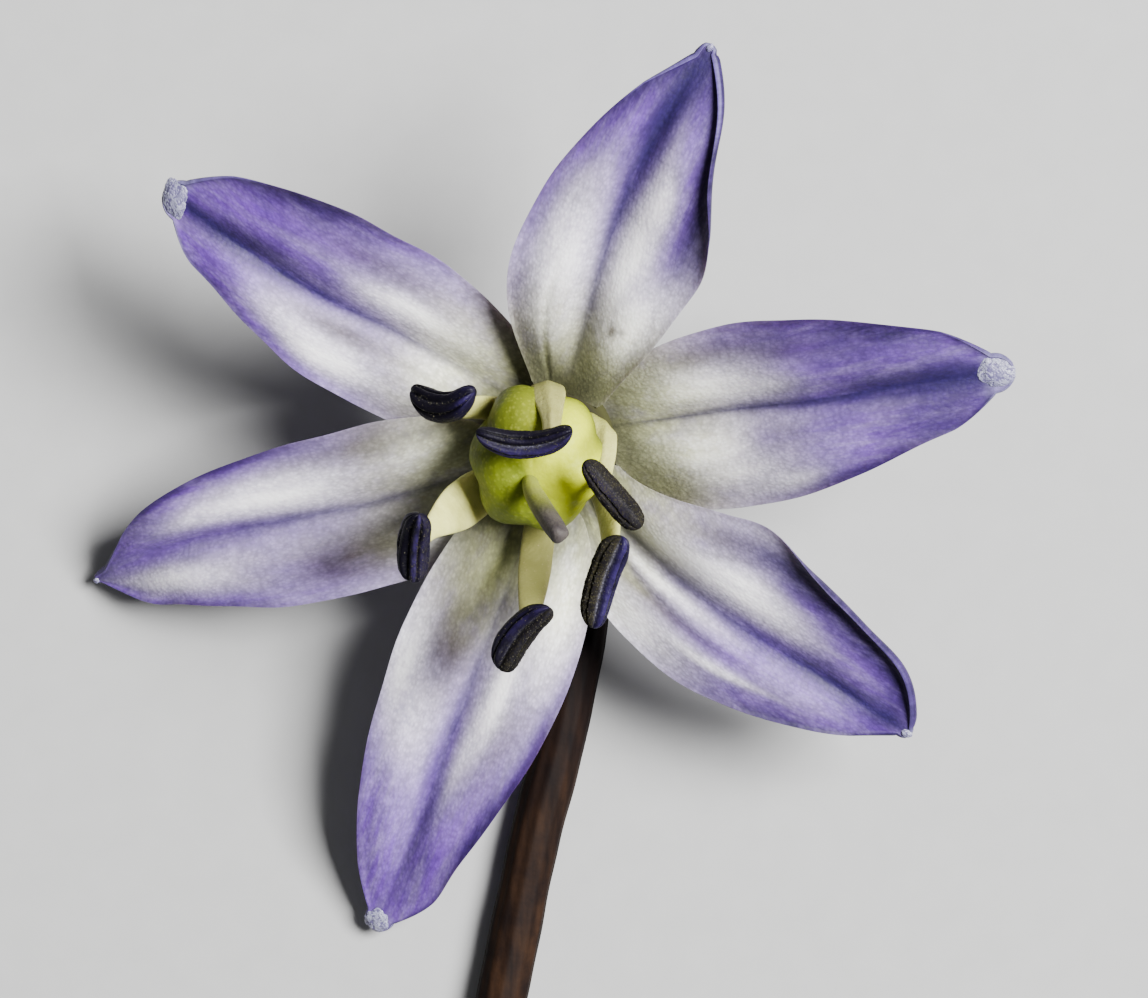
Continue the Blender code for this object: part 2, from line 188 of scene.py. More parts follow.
def unit(vectors):
    """Vectors scaled to length one, along the last axis."""
    vectors = np.asarray(vectors, dtype=float)
    return vectors / np.linalg.norm(vectors, axis=-1, keepdims=True)


def smooth(low, high, values):
    """0 up to low, 1 from high on, and an even S between them. It falls where high is the smaller one."""
    x = np.clip((values - low) / (high - low), 0.0, 1.0)
    return x * x * (3.0 - 2.0 * x)


def waves(values, phase, rows):
    """A sum of sines. Each row is a wave's height, its pace and the share of the phase it starts with."""
    return sum(height * np.sin(pace * values + shift * phase) for height, pace, shift in rows)


def full_turn(count):
    """Angles evenly spaced round a circle."""
    return np.linspace(0, 2 * math.pi, count, endpoint=False)


AXIS = unit([-math.tan(math.radians(LEAN_TO_MINUS_X)), -math.tan(math.radians(LEAN_TO_MINUS_Y)), 1.0])
EAST = unit(np.cross([0.0, 1.0, 0.0], AXIS))
NORTH = np.cross(AXIS, EAST)


def bezier(points, steps):
    """Points on a cubic Bezier curve and its unit tangents, at the given steps from 0 to 1."""
    a, b, c, d = (np.asarray(point, dtype=float) for point in points)
    u = np.asarray(steps)[:, None]
    v = 1.0 - u
    place = v**3 * a + 3 * v * v * u * b + 3 * v * u * u * c + u**3 * d
    tangent = unit(v * v * (b - a) + 2 * v * u * (c - b) + u * u * (d - c))
    return place, tangent


def rings_round(path, tangent, wide_way, sideways, upward):
    """Rings of points round a path, by each point's place across it.

    Sideways is counted along the wide way, made square to the tangent, and upward along their cross product.
    """
    wide = unit(wide_way - np.sum(tangent * wide_way, axis=1, keepdims=True) * tangent)
    thick = np.cross(tangent, wide)
    return FOOT + path[:, None] + sideways[..., None] * wide[:, None] + upward[..., None] * thick[:, None]


def ring_faces(rows, count):
    """Quads between closed rings of count points: each point with its next one and the two after those."""
    row = np.arange(rows - 1)[:, None] * count
    step = np.arange(count)
    after = (step + 1) % count
    corners = np.stack([row + step, row + after, row + count + after, row + count + step], axis=-1)
    return corners.reshape(-1, 4)


def closed_faces(rows, count):
    """The quads between rings, and the triangles that close the outer two on two points after the rings."""
    step = np.arange(count)
    after = (step + 1) % count
    end = rows * count
    start_fan = np.stack([np.full(count, end), after, step], axis=-1)
    end_fan = np.stack([end - count + step, end - count + after, np.full(count, end + 1)], axis=-1)
    return ring_faces(rows, count), np.concatenate([start_fan, end_fan])


def make_piece(name, points, quads, triangles, material, slot, node=None, blade_map=None, masks=None):
    """A smooth piece from points and faces, turned outwards by the sign of the volume that they enclose.

    Every point has a place on the flat blade in blade_map, and a number from 0 to 1 in each named mask.
    """
    corners = points[np.concatenate([quads[:, [0, 1, 2]], quads[:, [0, 2, 3]], triangles])]
    volume = np.sum(corners[:, 0] * np.cross(corners[:, 1], corners[:, 2]))
    if volume < 0:
        quads, triangles = quads[:, ::-1], triangles[:, ::-1]
    loops = np.concatenate([quads.ravel(), triangles.ravel()]).astype(np.int32)
    sizes = np.concatenate([np.full(len(quads), 4), np.full(len(triangles), 3)])
    starts = np.concatenate([[0], np.cumsum(sizes)[:-1]]).astype(np.int32)
    mesh = bpy.data.meshes.new(name)
    mesh.vertices.add(len(points))
    mesh.vertices.foreach_set("co", (points * MM).astype(np.float32).ravel())
    mesh.loops.add(len(loops))
    mesh.loops.foreach_set("vertex_index", loops)
    mesh.polygons.add(len(sizes))
    mesh.polygons.foreach_set("loop_start", starts)
    mesh.update(calc_edges=True)
    if blade_map is not None:
        layer = mesh.uv_layers.new(name="blade")
        layer.data.foreach_set("uv", blade_map[loops].astype(np.float32).ravel())
    for key, values in (masks or {}).items():
        attribute = mesh.attributes.new(key, "FLOAT", "POINT")
        attribute.data.foreach_set("value", np.clip(values, 0, 1).astype(np.float32).ravel())
    mesh.validate()
    mesh.shade_smooth()
    mesh.materials.append(material)
    piece = add_object(name, mesh)
    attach(piece, "root")
    if node is not None:
        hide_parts(node)


def make_tube(title, rings, end_points, masks, **finish):
    """A closed skin over rings of points, drawn together at a start and an end point.

    A mask comes as its values on the rings, or what spreads over them, and its values at the two end points.
    """
    shape = rings.shape[:2]
    points = np.concatenate([rings.reshape(-1, 3), end_points])
    full = {name: np.append(np.broadcast_to(values, shape), ends) for name, (values, *ends) in masks.items()}
    make_piece(title, points, *closed_faces(*shape), masks=full, **finish)


def stalk_path():
    """Places from the receptacle's top down its axis, round the hook and along the table to the cut.

    The hook is a Bezier curve. The lying part is a smooth cubic through the passes, which leaves each of
    them along the line between its two neighbours.
    """
    depth = np.linspace(0.0, RECEPTACLE_DEPTH, RECEPTACLE_ROWS)[:, None]
    neck = -RECEPTACLE_DEPTH * AXIS
    level = STALK_AXIS_HEIGHT - FOOT[2]
    stops = np.array([(*place, level) for place in (STALK_LANDING, *STALK_PASSES)])
    arrival = stops[0] + [HOOK_SIDE, HOOK_HANDLE, 0.0]
    hook, _ = bezier([neck, neck - HOOK_HANDLE * AXIS, arrival, stops[0]], np.linspace(0, 1, HOOK_ROWS)[1:])
    run_up = stops[0] + [0.1, 3.0, 0.0]
    run_out = 2 * stops[-1] - stops[-2]
    places = np.concatenate([[run_up], stops, [run_out]])
    before, a, b, after = (places[i:len(places) - 3 + i, None] for i in range(4))
    u = np.linspace(0, 1, PASS_ROWS + 1)[1:, None]
    lying = 0.5 * (2 * a + (b - before) * u + (2 * before - 5 * a + 4 * b - after) * u**2
                   + (3 * a - before - 3 * b + after) * u**3)
    return np.concatenate([-depth * AXIS, hook, lying.reshape(-1, 3)])


def make_stalk():
    """Rings across the path. The radius falls from the receptacle's to the stalk's by a smooth step. Ribs
    are a small cosine round it, and slow swells sines along it. The underside is flat where it lies."""
    path = stalk_path()
    tangent = unit(np.gradient(path, axis=0))
    tangent[:RECEPTACLE_ROWS] = -AXIS
    run = np.append(0.0, np.cumsum(np.linalg.norm(np.diff(path, axis=0), axis=1)))
    radius = STALK_RADIUS + (RECEPTACLE_RADIUS - STALK_RADIUS) * (1 - smooth(*NECK_RUN, run))
    radius = radius - RECEPTACLE_RIM * (1 - np.sqrt(1 - np.clip(1 - run / RECEPTACLE_RIM, 0, 1) ** 2))
    radius = radius + waves(run, 1.0, STALK_WAVES)
    angle = full_turn(STALK_SIDES)
    ribs = STALK_RIB_HEIGHT * np.cos(STALK_RIBS * angle + STALK_RIB_TWIST * run[:, None])
    spread = radius[:, None] + ribs * smooth(*RIBS_RUN, run)[:, None]
    rings = rings_round(path, tangent, np.array([1, 0, 0]), spread * np.cos(angle), spread * np.sin(angle))
    rings[..., 2] = np.maximum(rings[..., 2], 0.0)
    # The cut: inner rings on the end's face, a little hollow, with pith inside the first of them
    centre = rings[-1].mean(axis=0)
    shares = np.array(CUT_RINGS)[:, None, None]
    cut = centre + shares * (rings[-1] - centre) - CUT_HOLLOW * (1 - shares) ** 0.8 * tangent[-1]
    rings = np.concatenate([rings, cut])
    on_cut = np.zeros(len(CUT_RINGS))
    # Painted shade: dark green on the receptacle under the bloom. Painted light, over the stalk's own
    # golden-brown: towards the cut.
    young_in_shade = np.append(smooth(-0.2, 0.5, run) * (1 - smooth(0.3, 3.2, run)), on_cut)
    bronze_and_light = np.append(smooth(9.0, 20.0, run), on_cut)
    pith = np.arange(len(rings)) > len(run)
    masks = {
        "pith": (pith[:, None], 0, 1),
        "young_in_shade": (young_in_shade[:, None], 0.2, 0),
        "bronze_and_light": (bronze_and_light[:, None], 0, 1),
    }
    make_tube(
        "pedicel", rings, [FOOT + 0.05 * AXIS, centre - CUT_HOLLOW * tangent[-1]], masks,
        material=stalk_skin(), slot="stalk", node="stalk")


def arithmetic(tree, operation, first, second):
    """The outcome of one sum on two numbers or sockets, kept between 0 and 1."""
    node = add_node(tree, "ShaderNodeMath", {0: first, 1: second}, operation=operation, use_clamp=True)
    return node.outputs[0]


def product(tree, first, second):
    """Two numbers or sockets multiplied."""
    return arithmetic(tree, "MULTIPLY", first, second)


def raised(tree, value, least, gain=None):
    """A value, times the gain if there is one, on top of a least value, to weaken a mask unevenly."""
    return arithmetic(tree, "ADD", value if gain is None else product(tree, value, gain), least)


def skin_group():
    """The shader group of plant skin: round cells with a soft mottle.

    Height is the nearness to the middle of each Voronoi cell, Tone an even mixture of that with a noise of
    the same scale, and Patch a slow noise.
    """
    group = bpy.data.node_groups.new("plant skin", "ShaderNodeTree")
    for name, kind in (("Place", "Vector"), ("Cells", "Float"), ("Mottle", "Float")):
        group.interface.new_socket(name, in_out="INPUT", socket_type=f"NodeSocket{kind}")
    for name in ("Tone", "Height", "Patch"):
        group.interface.new_socket(name, in_out="OUTPUT", socket_type="NodeSocketFloat")
    given = add_node(group, "NodeGroupInput").outputs
    cells = add_node(group, "ShaderNodeTexVoronoi", {"Vector": given["Place"], "Scale": given["Cells"]})
    near = arithmetic(group, "SUBTRACT", 1.0, cells.outputs["Distance"])
    fine = noise(group, given["Place"], given["Cells"], 2.0)
    tone = arithmetic(group, "ADD", product(group, near, 0.5), product(group, fine, 0.5))
    patch = noise(group, given["Place"], given["Mottle"], 4.0, 0.6)
    add_node(group, "NodeGroupOutput", {"Tone": tone, "Height": near, "Patch": patch})
    return group


PLANT_SKIN = skin_group()


def add_skin(tree, place, cells, mottle):
    """The outputs of the plant skin group in a material, with the scales of its cells and its mottle."""
    inputs = {"Place": place, "Cells": cells, "Mottle": mottle}
    return add_node(tree, "ShaderNodeGroup", inputs, node_tree=PLANT_SKIN).outputs


def stretched(tree, place, along):
    """A place whose texture is drawn out on one of its ways, by the scales of the three ways."""
    return add_node(tree, "ShaderNodeMapping", {"Vector": place, "Scale": along}).outputs["Vector"]


def mask(tree, name):
    """The socket of a mask that the mesh carries."""
    return add_node(tree, "ShaderNodeAttribute", attribute_name=name).outputs["Fac"]


def contrast(tree, value, low, high, least=0.0, most=1.0):
    """The least value where a noise or a mask is below low, the most where it is above high."""
    inputs = {"Value": value, "From Min": low, "From Max": high, "To Min": least, "To Max": most}
    return add_node(tree, "ShaderNodeMapRange", inputs).outputs["Result"]


def paint(tree, colour, *coats):
    """A colour with coats over it, one after the other.

    A coat is its share, as a socket or a mask's name, then its colour, then whatever weakens the share.
    """
    for share, coat, *factors in coats:
        share = mask(tree, share) if isinstance(share, str) else share
        for factor in factors:
            share = product(tree, share, factor)
        colour = mix_colours(tree, share, colour, coat)
    return colour


def set_living(tree, shader, colour, roughness, gloss=0.4, depth=0.0002, share=0.0):
    """The colour, and what living tissue shares: a waxy surface and light that goes a little way in."""
    tree.links.new(colour, shader.inputs["Base Color"])
    shader.inputs["Roughness"].default_value = roughness
    shader.inputs["Specular IOR Level"].default_value = gloss
    shader.inputs["Subsurface Weight"].default_value = share
    shader.inputs["Subsurface Radius"].default_value = (1.0, 0.8, 0.9)
    shader.inputs["Subsurface Scale"].default_value = depth


def add_bump(tree, shader, height, distance, strength):
    """A bump of the given height in metres on the shader."""
    bump = add_node(tree, "ShaderNodeBump", {"Height": height, "Distance": distance, "Strength": strength})
    tree.links.new(bump.outputs["Normal"], shader.inputs["Normal"])


def stalk_skin():
    """Purple-brown skin streaked along its length; golden-brown towards the cut, partly its own colour and
    partly painted light; a dark green under the bloom that is painted shade.
    """
    material, tree, shader = new_material("pedicel skin")
    place = object_place(tree)
    skin = add_skin(tree, place, cells=9000.0, mottle=900.0)
    streaks = contrast(tree, noise(tree, stretched(tree, place, (1.0, 0.12, 1.0)), 3200.0, 4.0), 0.30, 0.78)
    colour = paint(
        tree, mix_colours(tree, streaks, *STALK_DARK),
        ("bronze_and_light", mix_colours(tree, streaks, *STALK_GOLDEN_LIT), contrast(tree, skin["Patch"], 0.25, 0.65)),
        ("young_in_shade", STALK_YOUNG_SHADED), ("pith", STALK_PITH))
    set_living(tree, shader, colour, roughness=0.7, gloss=0.07)
    add_bump(tree, shader, skin["Height"], distance=0.000006, strength=0.5)
    return material


make_stalk()


# The six tepals.
# Petal-like blades of thin fleshy tissue, white with a violet bloom towards the tip and a deep violet-blue
# midvein. Each grows from the receptacle's rim. Near the base some lap over their neighbours, and some
# margins roll up.
TEPAL_RING = 1.8
TEPAL_LEVEL = -0.4
TEPAL_HANDLE = 0.36
TEPAL_BASE_HALF_WIDTH = 1.18
TEPAL_THICKNESS = 0.26
TEPAL_TIP_THICKNESS = 0.5
TEPAL_ROWS = 170
TEPAL_COLUMNS = 72
TEPAL_ROOT = -0.03
WING_SWELL = 0.62
WING_TAPER = 1.1
WING_BLUNTNESS = 0.75
ROLL_START = 0.72
LEAST_CURL = 1e-6
CHANNEL_DEPTH = 0.12
CHANNEL_WIDTH = 0.19
PILLOW_HEIGHT = 0.3
PILLOW_REACH = 0.95
PILLOW_POWER = 1.3
CUP_HEIGHT = 0.22
OVERLAP_LIFT = 0.38
LAP_BLEND = 0.6
EDGE_THINNING = 0.45
FULL_PLACE = 0.9
FULL_SPREAD = 0.09
WIDTH_WAVES = ((0.007, 15, 1.0), (0.0035, 33, 2.0))
HEIGHT_WAVES = ((0.035, 14, 1.0), (0.02, 31, 1.7))
VEIN_WAVES = ((0.035, 11, 1.0),)
# Where along a tepal a form or a colour begins and is full, or where it begins to fade and has gone
WIDTH_WAVES_RUN = (0, 0.3)
MARGIN_WAVES_RUN = (0.1, 0.4)
MARGIN_WAVES_END = (0.85, 1.0)
BODY_RUN = (0, 0.2)
BODY_END = (0.7, 0.96)
LAP_END = (0.3, 0.55)
HOOD_RUN = (0.80, 0.99)
THICKENING_RUN = (0.75, 0.95)
HALO_RUN = (0.25, 0.6)
DEEP_RUN = (0.3, 0.7)
RIM_RUN = (0.78, 0.88)
GREEN_END = (0.04, 0.42)
VEIN_STOPS = (0.0, 0.25, 0.55, 0.85, 1.0)
INK_STOPS = (0.0, 0.1, 0.5, 0.75, 0.93, 1.0)
# The same across it, from the midvein at 0 to the margin at 1
DEEP_EDGE = (0.86, 1.0)
RIM_EDGE = (0.95, 0.99)
# How strong some masks are, and how much earlier along the blade a colour comes at the margin
VIOLET_MOST = 0.95
VIOLET_LEAD = 0.16
HALO_MOST = 0.85
DEEP_MOST = 0.75
GREEN_LEAD = 0.05
TUFT_PALLOR = 0.2
CREASE_BROWN = 0.6
LIGHT_COVER = 0.85
UNDERSIDE_SHARE = 0.2
BLADE_MAP_STEP = 31.0
PAPILLA_REACH = 2.2
PAPILLA_HEIGHT = 0.06
TUFT_LUMPS = ((0.36, 0.7, 9),)
TUFT_GRAIN = ((0.16, 0.25, 10),)
BIG_TUFT = 400
BIG_TUFT_MESH = (110, 190)
SMALL_TUFT_MESH = (46, 80)
TUFT_SEED = 40
# What most tepals share, and each one's own form and colours, where along is 0 at the base and 1 at the tip,
# and across is -1 at the right margin and 1 at the left one, seen from the base.
# base: direction round the receptacle. tip: from the foot. rise and droop: how it leaves the receptacle and
# ends. turn: sideways turn of its end. left and right: half width and where along it that is reached. full:
# how much wider each side stays near the tip. lap: over (1) or under (-1) the neighbour on each side. curl:
# how far each margin rolls up, in degrees. roll: where along it that starts and where it is full. blunt: the
# radius of the tip's round end. hood: how steeply its margins stand up there, in degrees. vein: its half
# width at the base, middle and tip. ink: how dark the vein is there. halo: how far its violet spreads to the
# left and right. tint: where along it the violet starts and where it is full. rim: how pale the left and
# right margin are at the tip.
# creases: from (along, across) to (along, across), depth, and half width as a share of the blade's. tuft:
# the pale pad of papillae on the tip: how far back its middle lies, that middle across, its half sizes
# along, across and up, how far its length is turned sideways in degrees, and how many papillae it has.
# light, violet, deep, brown, shade and spot: the soft patches of that mask, each (along, across, its radius
# along, its radius across, strength). The brown patches are painted shadow, most of them where the anthers'
# shadows fall, and the shade patches are painted shade near the base, next to the ovary.
COMMON_TEPAL = dict(roll=(0.32, 0.66), creases=[], spot=[])
TEPALS = {
    "top": dict(
        base=71, tip=(4.59, 11.44, 7.0), rise=26, droop=15, turn=-13, left=(2.58, 0.36, 1.0, 0.95),
        right=(3.12, 0.6, 1.1, 0.8), full=(0.0, 0.25), lap=(1, 1), curl=(15, 110), roll=(0.42, 0.74),
        blunt=0.16, hood=76, vein=(0.07, 0.28, 0.6), ink=(0.5, 0.85, 1.0), halo=(0.34, 0.2),
        tint=(0.55, 0.98), rim=(0.75, 0.85), creases=[((0.02, 0.5), (0.38, 0.46), 0.05, 0.05)],
        tuft=dict(back=0.004, middle=0.0, size=(0.13, 0.1, 0.07), turn=0, papillae=90),
        light=[(0.43, -0.27, 0.17, 0.17, 1.0), (0.32, 0.4, 0.2, 0.26, 0.9), (0.27, -0.62, 0.12, 0.34, 1.0),
               (0.62, -0.38, 0.09, 0.14, 0.7), (0.5, 0.62, 0.14, 0.16, 0.4)],
        violet=[(0.66, -0.66, 0.2, 0.26, 0.9), (0.66, 0.95, 0.3, 0.34, 0.9), (0.8, 0.4, 0.16, 0.4, 0.9),
                (0.52, -0.62, 0.1, 0.14, 0.6)],
        deep=[(0.76, -0.9, 0.26, 0.22, 1.0), (0.58, -0.78, 0.14, 0.14, 0.8), (0.95, 0.2, 0.1, 0.9, 0.9),
              (0.84, 0.92, 0.16, 0.3, 0.9), (0.84, 0.1, 0.14, 0.24, 0.7), (0.76, -1.0, 0.32, 0.32, 1.0),
              (0.97, -0.3, 0.07, 0.8, 1.0)],
        brown=[(0.88, -0.42, 0.06, 0.16, 0.5), (0.36, 0.52, 0.08, 0.14, 0.35)],
        shade=[(0.0, 0.0, 0.13, 1.6, 1.0), (0.16, -0.95, 0.12, 0.2, 0.5)],
        spot=[(0.245, -0.4, 0.02, 0.05, 0.9), (0.25, -0.52, 0.01, 0.06, 0.5)]),
    "upper_left": dict(
        base=138, tip=(-11.44, 7.49, 2.6), rise=22, droop=15, turn=3, left=(2.6, 0.25), right=(3.04, 0.55),
        full=(0.3, 0.22), lap=(-1, -1), curl=(10, 20), blunt=0.58, hood=50, vein=(0.08, 0.26, 0.42),
        ink=(0.5, 0.95, 1.0), halo=(0.12, 0.85), tint=(0.46, 0.94), rim=(0.3, 0.6),
        creases=[((0.18, 0.3), (0.46, 0.24), 0.03, 0.05)],
        tuft=dict(back=0.028, middle=0.05, size=(0.6, 0.42, 0.13), turn=-50, papillae=900),
        light=[(0.34, -0.34, 0.16, 0.15, 1.0), (0.46, 0.62, 0.14, 0.2, 1.0), (0.18, 0.05, 0.09, 0.5, 0.6),
               (0.62, 0.46, 0.1, 0.2, 0.3)],
        violet=[(0.64, -0.32, 0.22, 0.26, 0.95), (0.8, 0.6, 0.16, 0.5, 0.7), (0.86, -0.65, 0.18, 0.5, 0.8),
                (0.58, -0.98, 0.36, 0.24, 0.9), (0.6, 0.98, 0.34, 0.2, 0.8)],
        deep=[(0.7, -0.92, 0.26, 0.22, 1.0), (0.74, -0.12, 0.2, 0.16, 0.6), (0.78, 1.0, 0.22, 0.16, 0.8)],
        brown=[(0.44, 0.26, 0.18, 0.13, 0.85), (0.52, -0.64, 0.24, 0.17, 0.9), (0.7, -0.62, 0.14, 0.14, 0.8),
               (0.28, 0.55, 0.12, 0.2, 0.35)],
        shade=[(0.0, -0.3, 0.1, 1.6, 0.7), (0.1, -0.95, 0.12, 0.3, 0.6)]),
    "left": dict(
        base=200, tip=(-14.06, -4.16, -4.65), rise=23, droop=25, turn=20, left=(2.7, 0.26, 0.62, 1.4),
        right=(2.6, 0.25), full=(0.34, -0.2), lap=(-1, 1), curl=(10, 10), blunt=0.11, hood=56,
        vein=(0.1, 0.28, 0.46), ink=(0.6, 0.75, 0.35), halo=(0.34, 0.4), tint=(0.56, 1.02), rim=(0.2, 0.2),
        tuft=dict(back=0.002, middle=0.0, size=(0.11, 0.09, 0.08), turn=0, papillae=24),
        light=[(0.46, -0.4, 0.14, 0.26, 0.9), (0.15, -0.45, 0.08, 0.26, 0.5), (0.8, 0.5, 0.15, 0.26, 0.8),
               (0.16, 0.6, 0.07, 0.22, 0.6), (0.62, -0.42, 0.12, 0.16, 0.5)],
        violet=[(0.64, -0.98, 0.3, 0.26, 1.0), (0.56, 0.92, 0.22, 0.2, 0.8), (0.86, -0.45, 0.14, 0.5, 0.8),
                (0.52, 0.55, 0.1, 0.2, 0.4)],
        deep=[(0.74, -1.0, 0.22, 0.16, 0.8), (0.5, -1.0, 0.16, 0.12, 0.6), (0.97, -0.2, 0.03, 0.6, 0.5)],
        brown=[(0.38, 0.58, 0.13, 0.3, 1.0), (0.27, -0.76, 0.1, 0.26, 0.85), (0.27, 0.48, 0.12, 0.3, 0.85),
               (0.22, -0.25, 0.1, 0.2, 0.5), (0.4, -0.8, 0.12, 0.16, 0.5)],
        shade=[(0.0, 0.0, 0.07, 1.6, 0.85)]),
    "bottom": dict(
        base=251, tip=(-5.48, -14.88, -4.65), rise=24, droop=12, turn=-2, left=(2.8, 0.28),
        right=(2.57, 0.39), full=(0.38, 0.1), lap=(1, 1), curl=(15, 10), blunt=0.42, hood=40,
        vein=(0.06, 0.26, 0.36), ink=(0.4, 0.75, 0.42), halo=(0.3, 0.34), tint=(0.38, 0.9), rim=(0.1, 0.1),
        creases=[((0.33, 0.72), (0.35, 0.93), 0.03, 0.04)],
        tuft=dict(back=0.022, middle=-0.1, size=(0.4, 0.38, 0.13), turn=0, papillae=520),
        light=[(0.16, 0.62, 0.14, 0.3, 1.0), (0.38, 0.34, 0.15, 0.12, 0.9), (0.4, -0.84, 0.12, 0.2, 0.9),
               (0.52, -0.55, 0.12, 0.3, 0.5), (0.55, 0.22, 0.12, 0.1, 0.4)],
        violet=[(0.66, -0.7, 0.24, 0.4, 0.5), (0.8, 0.5, 0.18, 0.4, 0.8), (0.6, 0.98, 0.4, 0.14, 0.8)],
        deep=[(0.7, 0.9, 0.16, 0.18, 0.85), (0.5, 1.0, 0.2, 0.12, 0.6), (0.86, 0.5, 0.1, 0.3, 0.3)],
        brown=[(0.33, -0.38, 0.11, 0.26, 1.0), (0.24, -0.24, 0.1, 0.2, 0.8), (0.14, -0.25, 0.14, 0.5, 1.0),
               (0.54, 0.58, 0.16, 0.24, 0.6), (0.24, -0.5, 0.12, 0.3, 0.5), (0.72, 0.62, 0.1, 0.2, 0.6)],
        shade=[(0.02, -0.2, 0.1, 1.2, 0.6)]),
    "lower_right": dict(
        base=306, tip=(10.7, -8.74, -0.4), rise=23, droop=10, turn=-2, left=(3.52, 0.53, 1.3),
        right=(2.62, 0.4, 0.5), full=(0.34, 0.12), lap=(1, -1), curl=(105, 30), roll=(0.36, 0.68),
        blunt=0.18, hood=70, vein=(0.18, 0.34, 0.46), ink=(0.45, 0.8, 1.0), halo=(0.2, 0.4),
        tint=(0.54, 1.0), rim=(0.25, 0.0),
        creases=[((0.02, -0.3), (0.6, -0.46), 0.1, 0.08), ((0.34, 0.52), (0.52, 0.7), 0.04, 0.05)],
        tuft=dict(back=0.006, middle=0.0, size=(0.18, 0.12, 0.08), turn=20, papillae=120),
        light=[(0.2, 0.26, 0.18, 0.16, 1.0), (0.46, 0.36, 0.16, 0.17, 1.0), (0.26, -0.17, 0.18, 0.07, 0.9),
               (0.13, -0.85, 0.12, 0.24, 1.0), (0.28, -0.78, 0.16, 0.22, 1.0), (0.5, -0.6, 0.16, 0.06, 0.8)],
        violet=[(0.66, 0.62, 0.18, 0.22, 0.9), (0.62, -0.78, 0.28, 0.3, 0.7), (0.84, 0.25, 0.14, 0.6, 0.8),
                (0.56, -0.36, 0.16, 0.14, 0.7)],
        deep=[(0.82, 0.7, 0.24, 0.24, 1.0), (0.56, 0.74, 0.16, 0.12, 1.0), (0.74, -1.0, 0.36, 0.24, 1.0),
              (0.76, 1.0, 0.36, 0.4, 1.0), (0.95, 0.1, 0.07, 0.8, 0.8)],
        brown=[(0.3, -0.41, 0.24, 0.08, 1.0), (0.42, -0.66, 0.14, 0.16, 0.5), (0.36, 0.74, 0.12, 0.14, 0.7),
               (0.66, -0.6, 0.12, 0.14, 0.5)],
        shade=[(0.0, -0.2, 0.08, 1.6, 0.6)]),
    "right": dict(
        base=11, tip=(13.48, 2.07, 4.7), rise=20, droop=14, turn=-8, left=(2.78, 0.42),
        right=(2.95, 0.25, 0.3, 1.1, 1.55), full=(0.18, 0.34), lap=(-1, -1), curl=(10, 10), blunt=0.56,
        hood=50, vein=(0.06, 0.22, 0.54), ink=(0.75, 0.95, 1.0), halo=(0.7, 0.2), tint=(0.38, 0.86),
        rim=(0.1, 0.1),
        tuft=dict(back=0.036, middle=0.05, size=(0.56, 0.44, 0.12), turn=-25, papillae=800),
        light=[(0.24, 0.36, 0.16, 0.22, 1.0), (0.2, -0.34, 0.16, 0.2, 1.0), (0.42, -0.8, 0.1, 0.12, 0.6),
               (0.4, 0.26, 0.12, 0.14, 0.6), (0.3, -0.62, 0.1, 0.1, 0.6), (0.1, 0.6, 0.08, 0.3, 0.5)],
        violet=[(0.58, 0.34, 0.2, 0.28, 0.9), (0.64, -0.6, 0.22, 0.5, 0.7), (0.38, -0.3, 0.06, 0.14, 0.6),
                (0.56, 0.98, 0.3, 0.24, 0.9), (0.54, -0.3, 0.08, 0.16, 0.4)],
        deep=[(0.7, 0.88, 0.26, 0.24, 1.0), (0.86, -0.6, 0.14, 0.5, 0.8), (0.66, -1.0, 0.3, 0.16, 0.9),
              (0.86, 0.2, 0.14, 0.4, 0.8), (0.62, 0.16, 0.16, 0.16, 0.6), (0.82, -0.2, 0.2, 0.9, 0.5),
              (0.62, 0.6, 0.14, 0.24, 0.4)],
        brown=[(0.32, 0.78, 0.2, 0.12, 0.6), (0.54, 0.66, 0.16, 0.12, 0.9), (0.1, -0.8, 0.1, 0.3, 0.6),
               (0.5, -0.3, 0.16, 0.12, 0.4), (0.26, 0.7, 0.06, 0.08, 0.6)],
        shade=[(0.0, 0.0, 0.07, 1.6, 0.8), (0.08, -0.95, 0.12, 0.2, 0.4)]),
}
TEPAL_GROUND = ((0.235, 0.195, 0.33), (0.37, 0.335, 0.43))
TEPAL_VIOLET = ((0.066, 0.019, 0.20), (0.135, 0.043, 0.35))
TEPAL_SPARKLE = ((0.28, 0.28, 0.28), (0.74, 0.74, 0.76))
TEPAL_LIGHT = (0.98, 0.965, 0.955)
# Painted shadow: the brown-grey of the brown patches.
TEPAL_SHADOW_BROWN = (0.038, 0.029, 0.031)
TEPAL_GREEN = (0.38, 0.40, 0.14)
TEPAL_UNDER = (0.085, 0.032, 0.24)
# The deep violet is the margins' own colour, and inside the rolled margins it is also painted shadow.
TEPAL_DEEP_VIOLET_AND_SHADE = (0.0085, 0.0035, 0.032)
TEPAL_VEIN = (0.0115, 0.0055, 0.048)
# Painted highlight: a paler line along the margin's edge near the tip.
TEPAL_RIM_HIGHLIGHT = (0.105, 0.078, 0.235)
TEPAL_SHADE = (0.045, 0.045, 0.018)
TEPAL_SPOT = (0.050, 0.034, 0.012)
TEPAL_TIP = (0.30, 0.31, 0.44)
PAPILLAE_PALE = ((0.125, 0.115, 0.21), (0.25, 0.255, 0.33))
# Painted shade in the hollows between the papillae.
PAPILLAE_CREVICE_SHADE = (0.085, 0.074, 0.155)


def around(degrees):
    """Direction in the plane of the bloom, counted from EAST towards NORTH."""
    angle = math.radians(degrees)
    return math.cos(angle) * EAST + math.sin(angle) * NORTH


def bell(distance, width):
    """A bell curve: 1 at no distance, and about a third at a distance of one width."""
    return np.exp(-(distance / width) ** 2)


